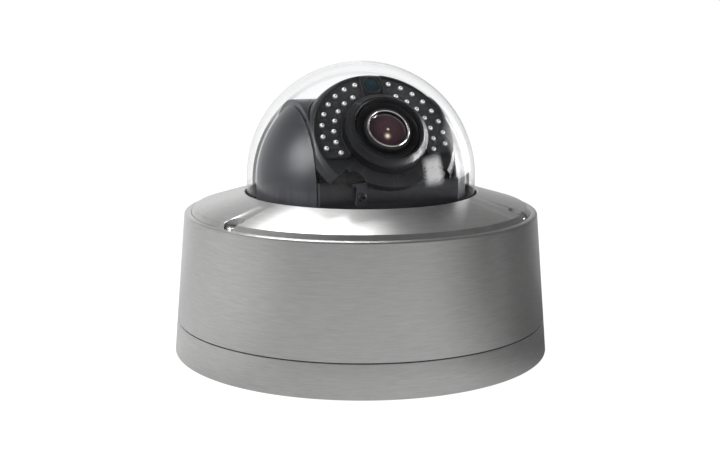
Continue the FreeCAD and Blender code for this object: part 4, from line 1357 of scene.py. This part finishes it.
# ---------------------------------------------------------------- studio
@dataclass
class Studio:
    """White floor, soft lights and the camera."""

    floor_size: float = 14.0
    lens: float = 62.3
    camera_place: Point = (0.0, -0.5926, 0.169)
    pitch: float = 10.54
    shift: float = -0.00165
    floor_bounce: float = 0.14
    floor_glow: float = 0.985
    floor_band: Band = (
        (0.0, 1.00), (0.07, 0.80), (0.13, 0.60), (0.17, 0.50), (0.25, 0.56), (0.32, 0.48), (0.39, 0.36),
        (0.46, 0.40), (0.60, 0.45), (0.65, 0.30), (0.70, 0.12), (0.75, 0.05), (0.84, 0.06), (0.89, 0.22),
        (0.92, 0.34), (0.96, 0.70), (1.0, 1.00))
    level_band: Band = (
        (0.0, 0.95), (0.09, 0.75), (0.17, 0.62), (0.25, 0.68), (0.32, 0.60), (0.39, 0.46), (0.46, 0.50),
        (0.60, 0.52), (0.65, 0.40), (0.70, 0.20), (0.75, 0.08), (0.86, 0.08), (0.92, 0.22), (0.97, 0.35),
        (1.0, 0.75))
    upper_band: Band = (
        (0.0, 0.40), (0.06, 0.38), (0.12, 0.42), (0.25, 0.40), (0.38, 0.15), (0.50, 0.10), (0.65, 0.10),
        (0.80, 0.12), (0.94, 0.20), (0.98, 0.28), (1.0, 0.40))
    shells: tuple[str, ...] = ("steel_base", "steel_body", "steel_cover")
    dome: tuple[str, ...] = ("clear_dome",)
    shaded: tuple[str, ...] = ("lens_hood_ring", "mask_lip")

    @staticmethod
    def round_about(board: Board, x: bpy.types.NodeSocket, y: bpy.types.NodeSocket,
                    band: Band) -> bpy.types.NodeSocket:
        """Brightness that changes round the upright axis: back at 0 and 1, left at 0.25, front at 0.5.

        Args:
            board: the tree.
            x: the direction's X.
            y: the direction's Y.
            band: (place, brightness) pairs.

        Returns:
            The brightness.
        """
        turn = board.math("ARCTAN2", x, board.math("MULTIPLY", y, -1.0))
        place = board.math("ADD", board.math("DIVIDE", turn, math.tau), 0.5)
        return board.ramp(place, band)

    @staticmethod
    def seen_directly(board: Board) -> bpy.types.NodeSocket:
        """1 where the eye sees a surface without a bounce, else 0."""
        path = board.node("LightPath")
        bounced = board.math("ADD", path.outputs["Diffuse Depth"], path.outputs["Glossy Depth"])
        return board.math("LESS_THAN", bounced, 0.5)

    def build_floor(self) -> None:
        """Lays the floor."""
        Bench.clear()
        bpy.ops.mesh.primitive_plane_add(size=self.floor_size, location=(0, 0, -0.0002))
        floor = bpy.context.object
        floor.name = "studio_floor"
        material = bpy.data.materials.new("floor_white")
        material.use_nodes = True
        board = Board(material.node_tree)
        shader = material.node_tree.nodes["Principled BSDF"]
        shader.inputs["Base Color"].default_value = (*(self.floor_bounce,) * 3, 1)
        shader.inputs["Roughness"].default_value = 0.9
        shader.inputs["Specular IOR Level"].default_value = 0.0
        seen = self.seen_directly(board)
        spot = board.node("SeparateXYZ", Vector=board.node("NewGeometry").outputs["Position"])
        sheen = self.round_about(board, spot.outputs[0], spot.outputs[1], self.floor_band)
        board.set(shader, "Emission Color", board.mix(seen, sheen, (self.floor_glow,) * 3))
        board.set(shader, "Emission Strength", 1.0)
        floor.data.materials.append(material)

    def build_world(self) -> None:
        """Sets the surroundings: white where seen, softly banded where reflected."""
        world = bpy.data.worlds.new("studio")
        bpy.context.scene.world = world
        world.use_nodes = True
        world.node_tree.nodes.clear()
        board = Board(world.node_tree)
        way = board.node("SeparateXYZ", Vector=board.node("TexCoord").outputs["Generated"])
        x, y, z = way.outputs
        level = self.round_about(board, x, y, self.level_band)
        upper = self.round_about(board, x, y, self.upper_band)
        high = board.ramp(z, ((0.18, 0.0), (0.50, 1.0)), smooth=True)
        banded = board.mix(high, level, upper)
        colour = board.mix(self.seen_directly(board), banded, (1.0, 1.0, 1.0))
        background = board.node("Background", Color=colour, Strength=1.0)
        board.set(board.node("OutputWorld"), "Surface", background.outputs[0])

    def add_softbox(self, name: str, place: Point, aim: Point, size: tuple[float, float], power: float,
                    receivers: bpy.types.Collection | None = None, alone: bool = False) -> None:
        """Adds a rectangular soft light that fades towards its edges.

        Args:
            name: the light's name.
            place: where it hangs, in metres.
            aim: the point it faces.
            size: its width and height.
            power: its power in watts.
            receivers: the only pieces that it lights, or None for all.
            alone: whether only those pieces stand in its way.
        """
        light = bpy.data.lights.new(name, "AREA")
        light.shape = "RECTANGLE"
        light.size, light.size_y = size
        light.energy = power
        light.use_nodes = True
        board = Board(light.node_tree)
        across = board.node("SeparateXYZ", Vector=board.node("NewGeometry").outputs["Parametric"])
        fades = []
        for socket in across.outputs[:2]:
            edge = board.math("MULTIPLY", socket, board.math("SUBTRACT", 1.0, socket))
            fades.append(board.math("MINIMUM", board.math("MULTIPLY", edge, 5.0), 1.0))
        strength = board.math("POWER", board.math("MULTIPLY", *fades), 1.5)
        board.set(light.node_tree.nodes["Emission"], "Strength", strength)
        lamp = bpy.data.objects.new(name, light)
        lamp.location = place
        lamp.rotation_euler = (Vector(aim) - Vector(place)).to_track_quat("-Z", "Y").to_euler()
        bpy.context.scene.collection.objects.link(lamp)
        if receivers:
            lamp.light_linking.receiver_collection = receivers
        if receivers and alone:
            lamp.light_linking.blocker_collection = receivers

    @staticmethod
    def receivers(name: str, wanted: Callable[[bpy.types.Object], bool]) -> bpy.types.Collection:
        """Collects the pieces that a light may reach.

        Args:
            name: the collection's name.
            wanted: tells whether a piece is lit.

        Returns:
            The collection.
        """
        chosen = bpy.data.collections.new(name)
        for piece in bpy.context.scene.objects:
            if piece.type == "MESH" and wanted(piece):
                chosen.objects.link(piece)
        return chosen

    def build_camera(self) -> None:
        """Sets up the camera."""
        data = bpy.data.cameras.new("camera")
        data.lens = self.lens
        data.sensor_width = 36.0
        data.shift_x = self.shift
        camera = bpy.data.objects.new("camera", data)
        camera.location = self.camera_place
        camera.rotation_euler = (math.radians(90 - self.pitch), -0.002, 0)
        bpy.context.scene.collection.objects.link(camera)
        bpy.context.scene.camera = camera

    def build(self) -> None:
        """Builds the studio."""
        self.build_floor()
        self.build_world()
        outer = (*self.shells, *self.dome)
        steel = self.receivers("steel shells", lambda piece: piece.name in self.shells)
        inner = self.receivers("camera parts", lambda piece: piece.name not in outer)
        bright = self.receivers("lit parts", lambda piece: piece.name not in (*outer, *self.shaded))
        clear = self.receivers("the dome", lambda piece: piece.name in self.dome)
        self.add_softbox("top", (-0.21, 0.65, 1.00), (0, 0, 0.07), (0.70, 0.30), 11, steel, True)
        self.add_softbox("key", (-0.38, -0.62, 1.00), (0, 0, 0.07), (0.5, 0.5), 4, inner)
        self.add_softbox("side", (-1.00, -0.35, 0.60), (0, 0, 0.08), (0.45, 0.50), 34, bright)
        self.add_softbox("strip", (1.00, 0.02, 0.14), (0, 0, 0.08), (0.16, 0.40), 12, inner)
        self.add_softbox("veil", (0.84, 0.52, 0.24), (0, 0, 0.09), (0.75, 0.7), 17, clear)
        self.add_softbox("low", (0.60, -0.17, 0.15), (0, 0, 0.08), (0.30, 0.29), 8, clear)
        self.build_camera()
        bpy.context.scene.view_settings.view_transform = "Standard"


def main() -> None:
    """Builds the camera's looks in order."""
    logging.basicConfig(level=logging.INFO, format="%(name)s: %(message)s")
    CarriedNodes().dress()
    Housing().dress()
    Cover().dress()
    Turret().dress()
    Mask().dress()
    LensFront().dress()
    Studio().build()


if __name__ == "__main__":
    main()
